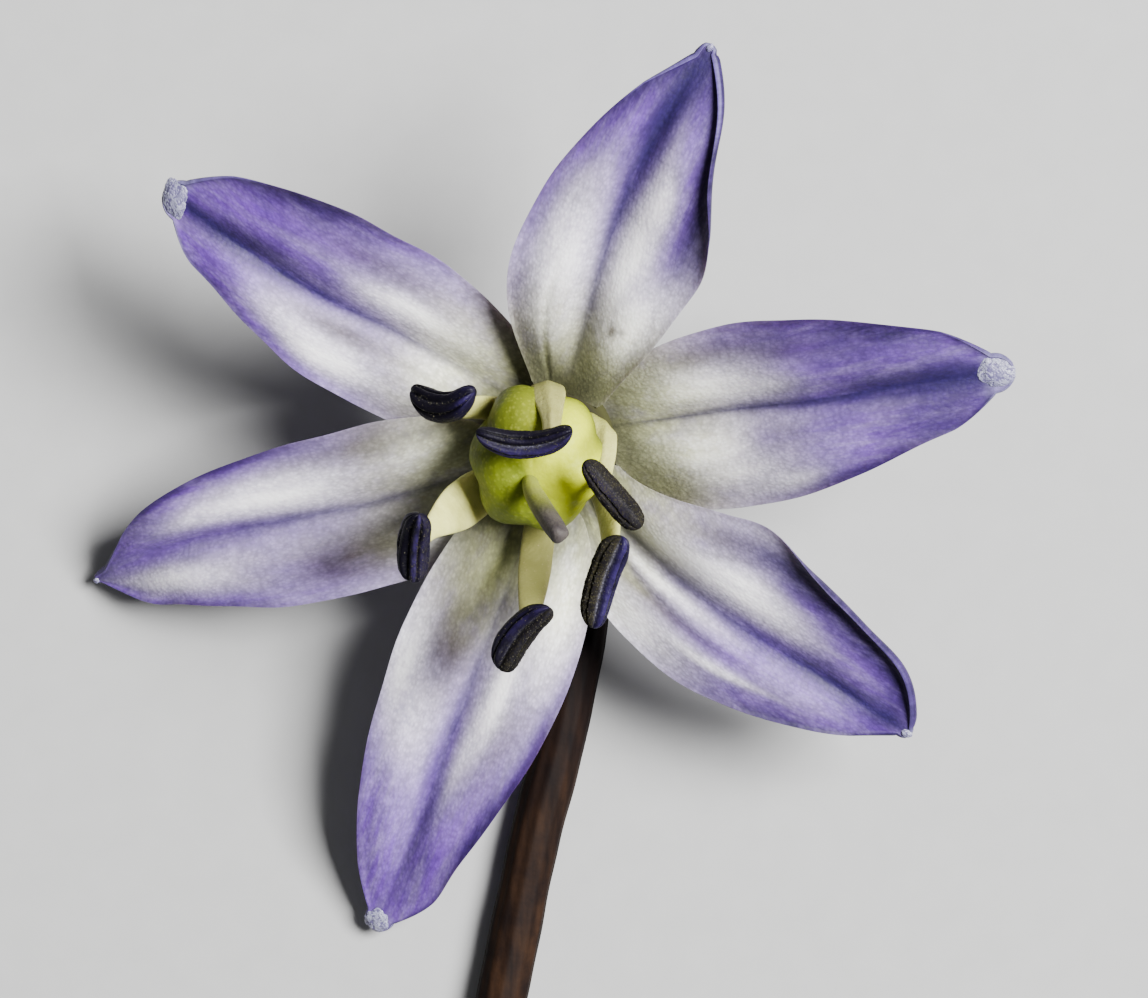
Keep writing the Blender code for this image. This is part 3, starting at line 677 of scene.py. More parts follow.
def tepal_wing(s, half_width, belly, swell=WING_SWELL, taper=WING_TAPER, foot=TEPAL_BASE_HALF_WIDTH):
    """Half width along one side of a tepal: a swell from the base to the belly, then a blunt taper.

    The swell is a quarter sine raised to a power, quick where that is below 1 and slow where it is above.
    The taper is a blunted quarter cosine of the way to the tip raised to its own power.
    """
    share = foot / half_width
    swelling = share + (1 - share) * np.sin(0.5 * math.pi * np.clip(s / belly, 0, 1)) ** swell
    x = np.clip((s - belly) / (1 - belly), 0, 1)
    tapering = np.cos(0.5 * math.pi * x**taper) ** WING_BLUNTNESS
    return half_width * np.where(s < belly, swelling, tapering)


def crease_line(s, t, start, end, half_width):
    """1 along the line from start to end across the blade, a bell to its sides, and fading at its ends."""
    share = np.clip((s - start[0]) / (end[0] - start[0]), 0, 1)
    middle = start[1] + (end[1] - start[1]) * share
    fade = smooth(start[0] - 0.05, start[0] + 0.05, s) * (1 - smooth(end[0] - 0.1, end[0] + 0.06, s))
    return fade * bell(t - middle, half_width)


def tepal_midvein(shape, s):
    """The midvein, a Bezier curve from the ring to the tip: its places, tangents and straight length."""
    base_way = around(shape["base"])
    tip = np.array(shape["tip"])
    tip_way = unit(tip - tip.dot(AXIS) * AXIS)
    turn, rise, droop = (math.radians(shape[name]) for name in ("turn", "rise", "droop"))
    end_way = math.cos(turn) * tip_way + math.sin(turn) * np.cross(AXIS, tip_way)
    start = base_way * TEPAL_RING + TEPAL_LEVEL * AXIS
    length = np.linalg.norm(tip - start)
    leave = math.cos(rise) * base_way + math.sin(rise) * AXIS
    arrive = math.cos(droop) * end_way - math.sin(droop) * AXIS
    handle = TEPAL_HANDLE * length
    places, tangent = bezier([start, start + handle * leave, tip - handle * arrive, tip], s)
    return places, tangent, length


def tepal_surface(shape, s, t, relief):
    """Upper surface of a tepal on the grid of s, along it from base to tip, and t, across it from -1 to 1.

    Each side is flat out to its half width, then raised into a pillow beside the midvein's channel, cupped,
    lapped over or under its neighbour, and rolled up at the margin. Relief 0 leaves out the creases and the
    margin's waves. Gives the points, and how far each lies sideways from the midvein.
    """
    midvein, tangent, length = tepal_midvein(shape, s)
    across = unit(np.cross(AXIS, tangent))
    normal = np.cross(tangent, across)

    s, t = s[:, None], t[None, :]
    side, reach = np.sign(t), np.abs(t)
    phase = shape["base"] + 2.0 * side
    half = np.where(t > 0, tepal_wing(s, *shape["left"]), tepal_wing(s, *shape["right"]))
    half = half + np.where(t > 0, *shape["full"]) * bell(s - FULL_PLACE, FULL_SPREAD)
    half = half * (1 + relief * waves(s, phase, WIDTH_WAVES) * smooth(*WIDTH_WAVES_RUN, s))
    half = half * (0.8 + 0.2 * smooth(TEPAL_ROOT, 0.0, s))
    curl = np.radians(np.where(t > 0, *shape["curl"])) * smooth(*shape["roll"], s)
    curl = np.maximum(curl, math.radians(shape["hood"]) * smooth(*HOOD_RUN, s)) + LEAST_CURL
    # The widths are those of the outer face, which a rolled margin carries outwards by the blade's thickness
    outer = TEPAL_THICKNESS * np.sin(np.minimum(curl, 0.5 * math.pi))
    blunt = shape["blunt"]
    cap = blunt / length
    half = np.maximum(half - outer, blunt * np.sqrt(1.02 - np.clip((s - 1 + cap) / cap, 0, 1) ** 2))

    rolled = np.clip((reach - ROLL_START) / (1 - ROLL_START), 0, 1)
    strip = (1 - ROLL_START) * half
    sideways = side * (np.minimum(reach, ROLL_START) * half + strip * np.sin(curl * rolled) / curl)
    body = smooth(*BODY_RUN, s) * (1 - smooth(*BODY_END, s))
    height = strip * (1 - np.cos(curl * rolled)) / curl
    pillow = np.sin(math.pi * np.minimum(reach / PILLOW_REACH, 1)) ** PILLOW_POWER
    height = height + PILLOW_HEIGHT * body * pillow
    height = height + CUP_HEIGHT * body * reach**2 - CHANNEL_DEPTH * body * bell(t, CHANNEL_WIDTH)
    margin = reach**3 * smooth(*MARGIN_WAVES_RUN, s) * (1 - smooth(*MARGIN_WAVES_END, s))
    height = height + relief * waves(s, phase, HEIGHT_WAVES) * margin
    for begin, end, depth, half_width in shape["creases"]:
        height = height - relief * depth * crease_line(s, t, begin, end, half_width)
    lap_left, lap_right = shape["lap"]
    lap = lap_right + (lap_left - lap_right) * smooth(-LAP_BLEND, LAP_BLEND, t)
    lift = OVERLAP_LIFT * lap * (1 - smooth(*LAP_END, s))
    points = FOOT + midvein[:, None] + sideways[..., None] * across[:, None]
    return points + height[..., None] * normal[:, None] + lift[..., None] * AXIS, sideways


def tepal_masks(shape, s, t, sideways):
    """The colour masks on a tepal's upper face.

    The vein is a bell across the midvein whose width runs through three values; its halo is a wider bell
    with its own width on either side. Violet is a smooth step towards the tip, and every patch is added as a
    soft bell in the two ways of the blade.
    """
    s, t = s[:, None], t[None, :]
    edge = np.abs(t)
    base, middle, tip = shape["vein"]
    width = np.interp(s, VEIN_STOPS, (base, 0.5 * (base + middle), middle, tip, 0.7 * tip))
    start, half_way, end = shape["ink"]
    ink = np.interp(s, INK_STOPS, (0.8 * start, start, half_way, end, end, 0.6 * end))
    off_vein = sideways - waves(s, shape["base"], VEIN_WAVES)
    halo = smooth(*HALO_RUN, s) * bell(off_vein, width + np.where(t > 0, *shape["halo"]))
    tint = smooth(*shape["tint"], s + VIOLET_LEAD * edge**3)
    back = shape["tuft"]["back"]
    masks = {
        "vein": ink * bell(off_vein, width),
        "violet": np.maximum(VIOLET_MOST * tint, HALO_MOST * halo),
        "deep": DEEP_MOST * smooth(*DEEP_EDGE, edge) * smooth(*DEEP_RUN, s),
        "rim": np.where(t > 0, *shape["rim"]) * smooth(*RIM_EDGE, edge) * smooth(*RIM_RUN, s),
        "green": 1 - smooth(*GREEN_END, s + GREEN_LEAD * edge),
        "tuft": TUFT_PALLOR * smooth(1.0 - 2.2 * back, 1.0 - back, s) * np.ones_like(t),
    }
    for name in ("violet", "deep", "light", "brown", "shade", "spot"):
        masks[name] = masks.get(name, np.zeros_like(sideways))
        for along, over, radius_along, radius_over, strength in shape[name]:
            patch = strength * bell(s - along, radius_along) * bell(t - over, radius_over)
            masks[name] = 1 - (1 - masks[name]) * (1 - patch)
    for begin, end, _, half_width in shape["creases"]:
        crease = CREASE_BROWN * crease_line(s, t, begin, end, half_width)
        masks["brown"] = np.maximum(masks["brown"], crease)
    for name in ("violet", "brown"):
        masks[name] = masks[name] * (1 - LIGHT_COVER * masks["light"])
    return masks


def make_tepal(place, shape, index, material):
    """A closed blade: rings that run across the upper face and back along the lower one.

    The lower face lies under the upper one, along its normal, by the thickness times a rounded profile that
    closes it at both margins. The end slits are closed by quads.
    """
    rows = np.linspace(TEPAL_ROOT, 1, TEPAL_ROWS)
    s = np.where(rows > 0, rows * (1.2 - 0.2 * rows), rows)
    t = np.sin(0.5 * math.pi * np.linspace(-1, 1, TEPAL_COLUMNS + 1))
    upper, sideways = tepal_surface(shape, s, t, 1.0)
    plain, _ = tepal_surface(shape, s, t, 0.0)
    normal = unit(np.cross(np.gradient(plain, axis=0), np.gradient(plain, axis=1)))
    normal = normal * np.sign(np.sum(normal * AXIS, axis=-1).mean())
    profile = np.sqrt(np.maximum(1 - np.abs(t) ** 7, 0)) * (1 - EDGE_THINNING * smooth(0.5, 1.0, np.abs(t)))
    thick = TEPAL_THICKNESS + (TEPAL_TIP_THICKNESS - TEPAL_THICKNESS) * smooth(*THICKENING_RUN, s)
    thick = thick * np.sqrt(np.clip((1.004 - s) / 0.03, 0.02, 1))
    lower = upper - (thick[:, None] * profile)[..., None] * normal

    back = slice(-2, 0, -1)
    rings = np.concatenate([upper, lower[:, back]], axis=1)
    count = rings.shape[1]
    over = np.arange(TEPAL_COLUMNS)
    cap = np.stack([over, over + 1, (count - over - 1) % count, (count - over) % count], axis=-1)
    inner = cap[1:-1]
    outer = np.concatenate([cap[:1, [0, 1, 2]], cap[-1:, [0, 1, 3]]])
    far = (len(s) - 1) * count
    quads = np.concatenate([ring_faces(len(s), count), inner[:, ::-1], inner + far])
    triangles = np.concatenate([outer[:, ::-1], outer + far])

    masks = {}
    for name, values in tepal_masks(shape, s, t, sideways).items():
        beneath = UNDERSIDE_SHARE if name in ("brown", "spot", "shade", "light") else 1.0
        masks[name] = np.concatenate([values, beneath * values[:, back]], axis=1)
    masks["under"] = np.broadcast_to(np.arange(count) > TEPAL_COLUMNS, rings.shape[:2])
    along = np.repeat((s * np.linalg.norm(shape["tip"]))[:, None], count, axis=1) + BLADE_MAP_STEP * index
    across = np.concatenate([sideways, sideways[:, back]], axis=1)
    make_piece(
        f"{place}_blade", rings.reshape(-1, 3), quads, triangles, material, "tepal", f"tepal_{place}",
        np.stack([along, across], axis=-1).reshape(-1, 2), masks)


def tepal_skin():
    """Soft petal tissue: each mask lays its colour over the white, and the cells sparkle in all of them."""
    material, tree, shader = new_material("tepal skin")
    flat = add_node(tree, "ShaderNodeUVMap", uv_map="blade").outputs["UV"]
    lengthwise = stretched(tree, flat, (0.16, 1.0, 1.0))
    skin = add_skin(tree, stretched(tree, flat, (0.55, 1.0, 1.0)), cells=11.0, mottle=1.1)
    fibre = noise(tree, lengthwise, 4.5, 3.0)
    blotch = contrast(tree, noise(tree, lengthwise, 1.9, 5.0, 0.7), 0.36, 0.64)
    patch = contrast(tree, skin["Patch"], 0.3, 0.7)
    flecks = contrast(tree, noise(tree, flat, 3.2, 2.0), 0.38, 0.66)
    cells = contrast(tree, skin["Tone"], 0.42, 0.78)
    colour = paint(
        tree, mix_colours(tree, patch, *TEPAL_GROUND),
        ("light", TEPAL_LIGHT, raised(tree, blotch, 0.62, 0.5)),
        # Painted shadow: the brown patches darken the white to brown-grey.
        ("brown", TEPAL_SHADOW_BROWN, raised(tree, patch, 0.75, 0.35)),
        ("green", TEPAL_GREEN, raised(tree, patch, 0.5), 0.75),
        ("violet", mix_colours(tree, patch, *TEPAL_VIOLET), raised(tree, blotch, 0.66, 0.45)),
        ("under", TEPAL_UNDER, 0.45),
        # Deep violet, partly the margins' own colour and partly painted shadow inside the rolled margins.
        ("deep", TEPAL_DEEP_VIOLET_AND_SHADE, raised(tree, blotch, 0.80, 0.25)),
        ("vein", TEPAL_VEIN, raised(tree, fibre, 0.5)),
        # The rim is a painted highlight along the margin's edge.
        ("rim", TEPAL_RIM_HIGHLIGHT), ("shade", TEPAL_SHADE), ("spot", TEPAL_SPOT), ("tuft", TEPAL_TIP))
    sparkle = arithmetic(tree, "ADD", product(tree, cells, 0.6), product(tree, flecks, 0.4))
    colour = mix_colours(tree, 0.6, colour, mix_colours(tree, sparkle, *TEPAL_SPARKLE), "OVERLAY")
    set_living(tree, shader, colour, roughness=0.55, gloss=0.2, depth=0.0004, share=0.2)
    shader.inputs["Sheen Weight"].default_value = 0.03
    relief = arithmetic(tree, "ADD", skin["Height"], product(tree, fibre, 0.25))
    add_bump(tree, shader, relief, distance=0.00002, strength=0.45)
    return material


def ball(rows, count):
    """A round ball of radius one: rings between two poles, with its faces."""
    rise = np.linspace(-0.5, 0.5, rows + 2)[1:-1, None] * math.pi
    turn = full_turn(count)
    across = np.cos(rise)
    ring = np.stack([across * np.cos(turn), across * np.sin(turn), np.sin(rise) + 0 * turn], axis=-1)
    points = np.concatenate([ring.reshape(-1, 3), [[0, 0, -1], [0, 0, 1]]])
    return points, *closed_faces(rows, count)


def grain(points, size, seed):
    """Smooth random numbers from 0 to 1: random values on a lattice of the given size, blended between."""
    lattice = np.random.default_rng(seed).random((16, 16, 16))
    cell = np.floor(points / size).astype(int)
    share = smooth(0, 1, points / size - cell)
    total = 0.0
    for corner in itertools.product((0, 1), repeat=3):
        weight = np.prod(np.where(corner, share, 1 - share), axis=-1)
        i, j, k = np.moveaxis((cell + corner) % 16, -1, 0)
        total = total + weight * lattice[i, j, k]
    return total


def unevenness(points, rows):
    """A sum of smooth random heights. Each row is a height, the size of its lumps and its numbers' seed."""
    return sum(height * (grain(points, size, seed) - 0.5) for height, size, seed in rows)


def make_tuft(place, shape, index, material):
    """A pad on the tip's upper face: a flattened uneven ball with a round bump over each of many seeds.

    The bump at a point is the highest of the seeds' caps: the square root of one less the squared distance.
    """
    tuft = shape["tuft"]
    chance = np.random.default_rng(TUFT_SEED + index)
    back = 1 - tuft["back"]
    aside = tuft["middle"] + np.array([-0.3, 0.0, 0.3])
    patch, _ = tepal_surface(shape, np.array([back - 0.02, back, 1.0]), aside, 0.0)
    along = unit(patch[2, 1] - patch[0, 1])
    wide = unit(patch[1, 2] - patch[1, 0])
    wide = unit(wide - wide.dot(along) * along)
    up = np.cross(along, wide)
    up = up * np.sign(up.dot(AXIS))
    turn = math.radians(tuft["turn"])
    turned = math.cos(turn) * along + math.sin(turn) * wide
    wide = math.cos(turn) * wide - math.sin(turn) * along
    count = tuft["papillae"]
    points, quads, triangles = ball(*(BIG_TUFT_MESH if count > BIG_TUFT else SMALL_TUFT_MESH))
    seeds = unit(chance.normal(size=(count, 3)))
    reach = PAPILLA_REACH / math.sqrt(count) * chance.uniform(0.6, 1.3, count)
    squared = (2 - 2 * points @ seeds.T) / reach**2
    bump = np.sqrt(np.maximum(1 - squared, 0)).max(axis=1)
    uneven = unevenness(points + index, TUFT_LUMPS) + unevenness(points, TUFT_GRAIN)
    skin = points * (0.95 + PAPILLA_HEIGHT * bump + uneven)[:, None]
    length, width, height = tuft["size"]
    skin = patch[1, 1] + skin @ np.array([length * turned, width * wide, height * up])
    make_piece(f"{place}_tuft", skin, quads, triangles, material, "tepal", masks={"crest": bump})


def tuft_skin():
    """Pale grey-lilac papillae, nearly clear, so they catch the light, with painted shade where they meet.
    """
    material, tree, shader = new_material("tuft skin")
    skin = add_skin(tree, object_place(tree), cells=14000.0, mottle=3500.0)
    pale = mix_colours(tree, contrast(tree, skin["Patch"], 0.35, 0.65), *PAPILLAE_PALE)
    # Painted shade darkens the hollows between the papillae.
    colour = mix_colours(tree, contrast(tree, mask(tree, "crest"), 0.0, 0.6), PAPILLAE_CREVICE_SHADE, pale)
    set_living(tree, shader, colour, roughness=0.38, depth=0.0003, share=0.2)
    add_bump(tree, shader, skin["Height"], distance=0.00001, strength=0.6)
    return material


TEPAL_SKIN = tepal_skin()
TUFT_SKIN = tuft_skin()
for number, (spot, own) in enumerate(TEPALS.items()):
    form = {**COMMON_TEPAL, **own}
    make_tepal(spot, form, number, TEPAL_SKIN)
    make_tuft(spot, form, number, TUFT_SKIN)


# The ovary.
# A glossy yellow-green body of six soft lobes, one between every two filaments, fleshy and seamless, with a
# small dent on top where the style stands. It grows from the middle of the receptacle.
OVARY_RADIUS = 2.03
OVARY_HEIGHT = 3.4
OVARY_SQUARENESS = (1.8, 2.6)
OVARY_BUMP = 0.058
OVARY_BULGE = (-0.06, 0.26)
OVARY_DENT_RADIUS = 0.5
OVARY_DENT_DEPTH = 0.07
OVARY_FURROW_DEPTH = 0.055
OVARY_LUMPS = ((0.05, 0.7, 3), (0.022, 0.14, 4))
OVARY_FIRST_GROOVE = 78.0
OVARY_SOUTH = 268.0
OVARY_PROUD_LOBES = ((112.0, 0.075), (38.0, 0.06))
PROUD_LOBE_NARROWNESS = 8
LOBES_END = (0.45, 1.0)
OVARY_SHADED_SIDE = 232.0
OVARY_FAR_SIDE = 126.0
OVARY_LIT_SIDE = 20.0
OVARY_SIDES = 180
OVARY_ROWS = 110
GAP = 0.1
OVARY_GREEN = ((0.105, 0.138, 0.005), (0.16, 0.20, 0.008))
# The gold is painted light on the lit side; the olive is painted shade.
OVARY_LIT_GOLD = (0.43, 0.475, 0.003)
OVARY_SHADED_OLIVE = (0.036, 0.045, 0.004)
OVARY_SEAM = (0.026, 0.032, 0.004)
OVARY_DOTS = (0.55, 0.57, 0.08)


def facing(turns, degrees):
    """1 where a turn is at the given direction, and -1 opposite: the cosine of the angle between them."""
    return np.cos(turns - math.radians(degrees))


def make_ovary():
    """Rings round the axis: a superellipse in profile, six unequal lobes round it, and a dent at the top.

    The lobes are cosines raised to a low power, so the grooves between them are narrow. The middle bulges
    off the axis as one minus the square of the height.
    """
    turns = full_turn(OVARY_SIDES)
    spoke = np.cos(turns)[:, None] * EAST + np.sin(turns)[:, None] * NORTH
    half = 0.5 * OVARY_HEIGHT
    rise = np.sin(np.linspace(-0.49, 0.495, OVARY_ROWS) * math.pi)[:, None]
    power = np.where(rise > 0, OVARY_SQUARENESS[1], OVARY_SQUARENESS[0])
    radius = OVARY_RADIUS * np.maximum(1 - np.abs(rise) ** power, 0) ** (1 / power)
    lobe = (0.5 - 0.5 * np.cos(6 * (turns - math.radians(OVARY_FIRST_GROOVE)))) ** 0.7
    south = turns - math.radians(OVARY_SOUTH)
    uneven = 0.045 * np.cos(south) + 0.02 * np.cos(2 * south) + 0.02 * np.cos(3 * turns + 0.8)
    for way, height in OVARY_PROUD_LOBES:
        uneven = uneven + height * np.exp(PROUD_LOBE_NARROWNESS * (facing(turns, way) - 1))
    fade = 1 - smooth(*LOBES_END, rise)
    spread = radius * (1 + fade * (2 * OVARY_BUMP * (lobe - 0.6) + uneven))
    dent = OVARY_DENT_DEPTH * bell(spread, OVARY_DENT_RADIUS) * (rise > 0)
    furrow = OVARY_FURROW_DEPTH * (1 - lobe) * smooth(0.2, 0.7, rise) * smooth(0.25, 1.0, spread)
    bulge = OVARY_BULGE[0] * EAST + OVARY_BULGE[1] * NORTH
    middle = (GAP + half + half * rise) * AXIS + (1 - rise**2) * bulge
    rings = FOOT + middle[:, None] + spread[..., None] * spoke - (dent + furrow)[..., None] * AXIS
    skin = unevenness(rings, OVARY_LUMPS)
    rings = rings + skin[..., None] * unit(rings - FOOT - half * AXIS)
    # Painted shade: olive low down and on the shaded and far sides. Painted light: gold on the lit side.
    shaded = smooth(-0.2, 0.9, facing(turns, OVARY_SHADED_SIDE)) * smooth(0.75, 0.1, rise)
    far = smooth(0.45, 1.0, facing(turns, OVARY_FAR_SIDE)) * smooth(1.0, 0.8, rise)
    olive = np.maximum(np.maximum(smooth(0.35, -0.5, rise), 0.85 * shaded), far)
    gold = smooth(-0.3, 1.0, facing(turns, OVARY_LIT_SIDE)) * smooth(-0.5, 0.5, rise)
    seam = (1 - smooth(0.1, 0.75, lobe)) * (0.3 + 0.7 * fade) * smooth(1.0, 0.8, rise)
    masks = {"olive": (olive, 1, 0), "gold": (gold, 0, 0.5), "seam": (seam, 1, 0)}
    low, high = GAP - 0.05, GAP + OVARY_HEIGHT - OVARY_DENT_DEPTH
    make_tube(
        "ovary_skin", rings, [FOOT + low * AXIS, FOOT + high * AXIS], masks,
        material=ovary_skin(), slot="ovary", node="ovary")


def ovary_skin():
    """Yellow-green, waxy and finely dotted, darker in the seams; painted shade turns it olive low down and
    on the shaded and far sides, and painted light turns it golden on the lit side.
    """
    material, tree, shader = new_material("ovary skin")
    skin = add_skin(tree, object_place(tree), cells=8000.0, mottle=1300.0)
    colour = paint(
        tree, mix_colours(tree, contrast(tree, skin["Patch"], 0.3, 0.7), *OVARY_GREEN),
        ("gold", OVARY_LIT_GOLD), ("olive", OVARY_SHADED_OLIVE, 0.8), ("seam", OVARY_SEAM, 0.45),
        (contrast(tree, skin["Tone"], 0.5, 0.85), OVARY_DOTS, 0.17))
    set_living(tree, shader, colour, roughness=0.5, gloss=0.16, depth=0.0004, share=0.12)
    add_bump(tree, shader, skin["Height"], distance=0.00001, strength=0.7)
    return material


make_ovary()


# The six stamens.
# Each has a flat cream filament, broadest low down, that stands on the receptacle in front of its tepal, and
# across its end a blue-black anther of two pouches, with a groove between them and pollen in their slits.
FILAMENT_RING = 1.45
FILAMENT_OUTWARD = 0.9
FILAMENT_FOOT_WIDTH = 0.9
FILAMENT_TOP_WIDTH = 0.56
FILAMENT_THICKNESS = 0.34
FILAMENT_BELLY = 0.38
FILAMENT_ARRIVAL = 1.3
FILAMENT_SUNK = 0.25
FILAMENT_LUMPS = ((0.03, 0.35, 8),)
TWIST_RUN = (-0.1, 0.42)
SWELL_RUN = (0.0, 0.35)
NARROW_RUN = (0.42, 0.92)
KEEL_HEIGHT = 0.35
KEEL_WIDTH = 0.35
FILAMENT_ROWS = 96
FILAMENT_SIDES = 36
ANTHER_WIDTH = 0.95
ANTHER_DEPTH = 0.85
ANTHER_BEND = 0.22
ANTHER_BLUNTNESS = 4.6
ANTHER_LUMPS = ((0.16, 0.55, 5), (0.05, 0.16, 6))
ANTHER_SLIT = 0.85
GROOVE_DEPTH = 0.44
GROOVE_WIDTH = 0.26
SLIT_DEPTH = 0.20
SLIT_WIDTH = 0.11
BACK_HOLLOW_DEPTH = 0.18
BACK_HOLLOW_WIDTH = 0.45
ANTHER_ROWS = 112
ANTHER_SIDES = 128
POLLEN_ON_POUCH = 260
POLLEN_IN_GROOVE = 46
POLLEN_IN_SLIT = 22
GROOVE_SCATTER = 0.16
SLIT_SCATTER = 0.09
POLLEN_REACH = 0.86
POLLEN_SIZES = (0.010, 0.022)
POLLEN_STRETCH = 0.35
POLLEN_SEED = 70
# What most stamens share, and each one's own form and colours.
# foot: direction round the receptacle. width: the filament's broadest. swing: how far it arches out. twist:
# how far it turns about its line, in degrees. handle: how far it holds the way that it leaves the
# receptacle. tone: how olive it is, partly its own colour and partly painted shade where the ovary shades
# it. anther: middle of the anther, from the foot of the bloom. length: the anther's. along: its long axis.
# hold: how far along it the filament joins. front: the way its groove faces.
# dust: how much pollen lies on the left and right pouch. violet: how violet each pouch is, partly its own
# colour and partly a painted highlight where the pouch is lit. glow: where along it that violet is
# strongest, and how wide. gape: how wide the groove stands open. bow: how far its ends bend sideways. taper:
# how much thicker its far end is. seam: how grey the groove's floor is. girth: its thickness as a share of
# the usual one.
COMMON_STAMEN = dict(twist=0, handle=2.0, hold=0.0, taper=0.0, girth=1.0)
STAMENS = {
    "top": dict(
        foot=88, width=1.04, swing=0.42, tone=0.85,
        anther=(-0.80, 0.08, 4.7), length=2.85, along=(1.0, 0.02, 0.1), hold=0.72, front=(0.05, -0.3, 1.0),
        gape=1.25, bow=-0.46, girth=0.84, dust=(0.1, 0.2), violet=(0.15, 0.95), glow=(0.2, 2.0), seam=1.0),
    "upper_left": dict(
        foot=139, width=0.9, swing=0.75, tone=0.45,
        anther=(-3.20, 1.22, 4.2), length=2.2, along=(1.0, -0.03, 0.6), front=(-0.3, 0.4, 1.0),
        gape=0.8, bow=-0.4, dust=(0.05, 0.05), violet=(0.5, 0.9), glow=(1.0, 0.45), seam=0.1),
    "left": dict(
        foot=209, width=1.42, swing=0.4, tone=0.0,
        anther=(-4.06, -2.97, 3.9), length=2.35, along=(0.12, 1.0, 0.65), front=(-0.5, -0.2, 1.0),
        gape=1.0, bow=0.2, taper=-0.08, dust=(0.0, 0.35), violet=(0.0, 1.0), glow=(0.2, 1.4), seam=0.1),
    "bottom": dict(
        foot=259, width=1.0, swing=0.1, tone=1.0,
        anther=(-0.90, -5.62, 4.0), length=2.5, along=(0.62, 0.75, 0.35), front=(-0.1, -0.2, 1.0),
        gape=1.0, bow=0.22, taper=-0.16, dust=(0.1, 0.5), violet=(0.6, 0.1), glow=(0.5, 0.9), seam=0.3),
    "lower_right": dict(
        foot=320, width=0.9, swing=0.5, tone=0.5,
        anther=(1.51, -4.03, 4.3), length=2.9, along=(0.30, 0.95, 0.2), hold=0.4, front=(0.2, -0.1, 1.0),
        gape=0.9, bow=0.1, taper=0.05, dust=(1.0, 0.05), violet=(0.05, 1.0), glow=(0.0, 3.0), seam=1.0),
    "right": dict(
        foot=23, width=0.70, swing=0.35, twist=66, handle=1.4, tone=0.35,
        anther=(1.74, -1.50, 4.6), length=2.6, along=(0.64, -0.76, -0.2), hold=-0.2, front=(0.25, 0.15, 1.0),
        gape=0.35, bow=0.05, taper=0.10, girth=0.84,
        dust=(0.75, 0.7), violet=(0.05, 0.35), glow=(-0.2, 1.0), seam=0.2),
}
FILAMENT_CREAM = ((0.44, 0.435, 0.12), (0.62, 0.61, 0.20))
FILAMENT_GREEN = (0.24, 0.27, 0.02)
# The olive is partly the filaments' own colour and partly painted shade from the ovary.
FILAMENT_SHADE_OLIVE = (0.13, 0.125, 0.036)
FILAMENT_FLECKS = (0.62, 0.50, 0.28)
ANTHER_BLACK = (0.0014, 0.0010, 0.0030)
# The violet is partly the anthers' own colour and partly a painted highlight on the lit pouches.
ANTHER_VIOLET_HIGHLIGHT = (0.015, 0.0085, 0.050)
ANTHER_SLIT_BLACK = (0.0005, 0.0004, 0.0010)
ANTHER_DUST = ((0.0070, 0.0060, 0.0022), (0.0245, 0.0215, 0.0085))
ANTHER_SEAM = (0.085, 0.082, 0.105)
POLLEN_GREYS = ((0.010, 0.0090, 0.0040), (0.052, 0.046, 0.024))


def anther_ways(stamen):
    """An anther's long axis, the way its groove faces, and its width's way, all at right angles."""
    along = unit(stamen["along"])
    front = np.array(stamen["front"], dtype=float)
    front = unit(front - front.dot(along) * along)
    return along, front, np.cross(along, front)


def of_pouches(stamen, name, turn):
    """The left pouch's value of a pair at turns left of the groove, and the right one's at the others."""
    left, right = stamen[name]
    return left + (right - left) * smooth(-0.15, 0.15, turn)


def anther_dust(stamen, turn):
    """How much pollen lies at a turn from the anther's front: the share of its pouch, less at the back."""
    return smooth(2.4, 1.3, np.abs(turn)) * of_pouches(stamen, "dust", turn)


def anther_surface(stamen, u, turn):
    """Points on the anther at u, from -1 to 1 along it, and at turns from its front round its section.

    The section is an ellipse pinched by bell curves: deep in front for the groove, wide at the back, and a
    narrow slit on each pouch. Its size follows a blunt superellipse along the anther, whose middle line is a
    parabola. Smooth random numbers make it uneven, and rough where pollen lies.
    """
    along, front, wide = anther_ways(stamen)
    swell = np.maximum(1 - np.abs(u) ** ANTHER_BLUNTNESS, 0) ** 0.5 * (1 + stamen["taper"] * u)
    groove = GROOVE_DEPTH * stamen["gape"] * bell(turn, GROOVE_WIDTH)
    slits = SLIT_DEPTH * bell(np.abs(turn) - ANTHER_SLIT, SLIT_WIDTH)
    hollow = BACK_HOLLOW_DEPTH * bell(np.abs(turn) - math.pi, BACK_HOLLOW_WIDTH)
    reach = 0.5 * stamen["length"] * u
    seat = np.stack([reach, np.cos(turn), np.sin(turn)], axis=-1) + stamen["foot"]
    lumps = unevenness(seat, ANTHER_LUMPS)
    rough = (0.03 + 0.08 * anther_dust(stamen, turn)) * (grain(seat, 0.06, 7) - 0.5)
    size = stamen["girth"] * swell * (1 - groove - slits - hollow + lumps + rough)
    bent = u * u - 0.4
    outward = 0.5 * ANTHER_DEPTH * size * np.cos(turn) + ANTHER_BEND * bent
    sideways = 0.5 * ANTHER_WIDTH * size * np.sin(turn) + stamen["bow"] * bent
    middle = FOOT + np.array(stamen["anther"])
    return middle + reach[..., None] * along + outward[..., None] * front + sideways[..., None] * wide


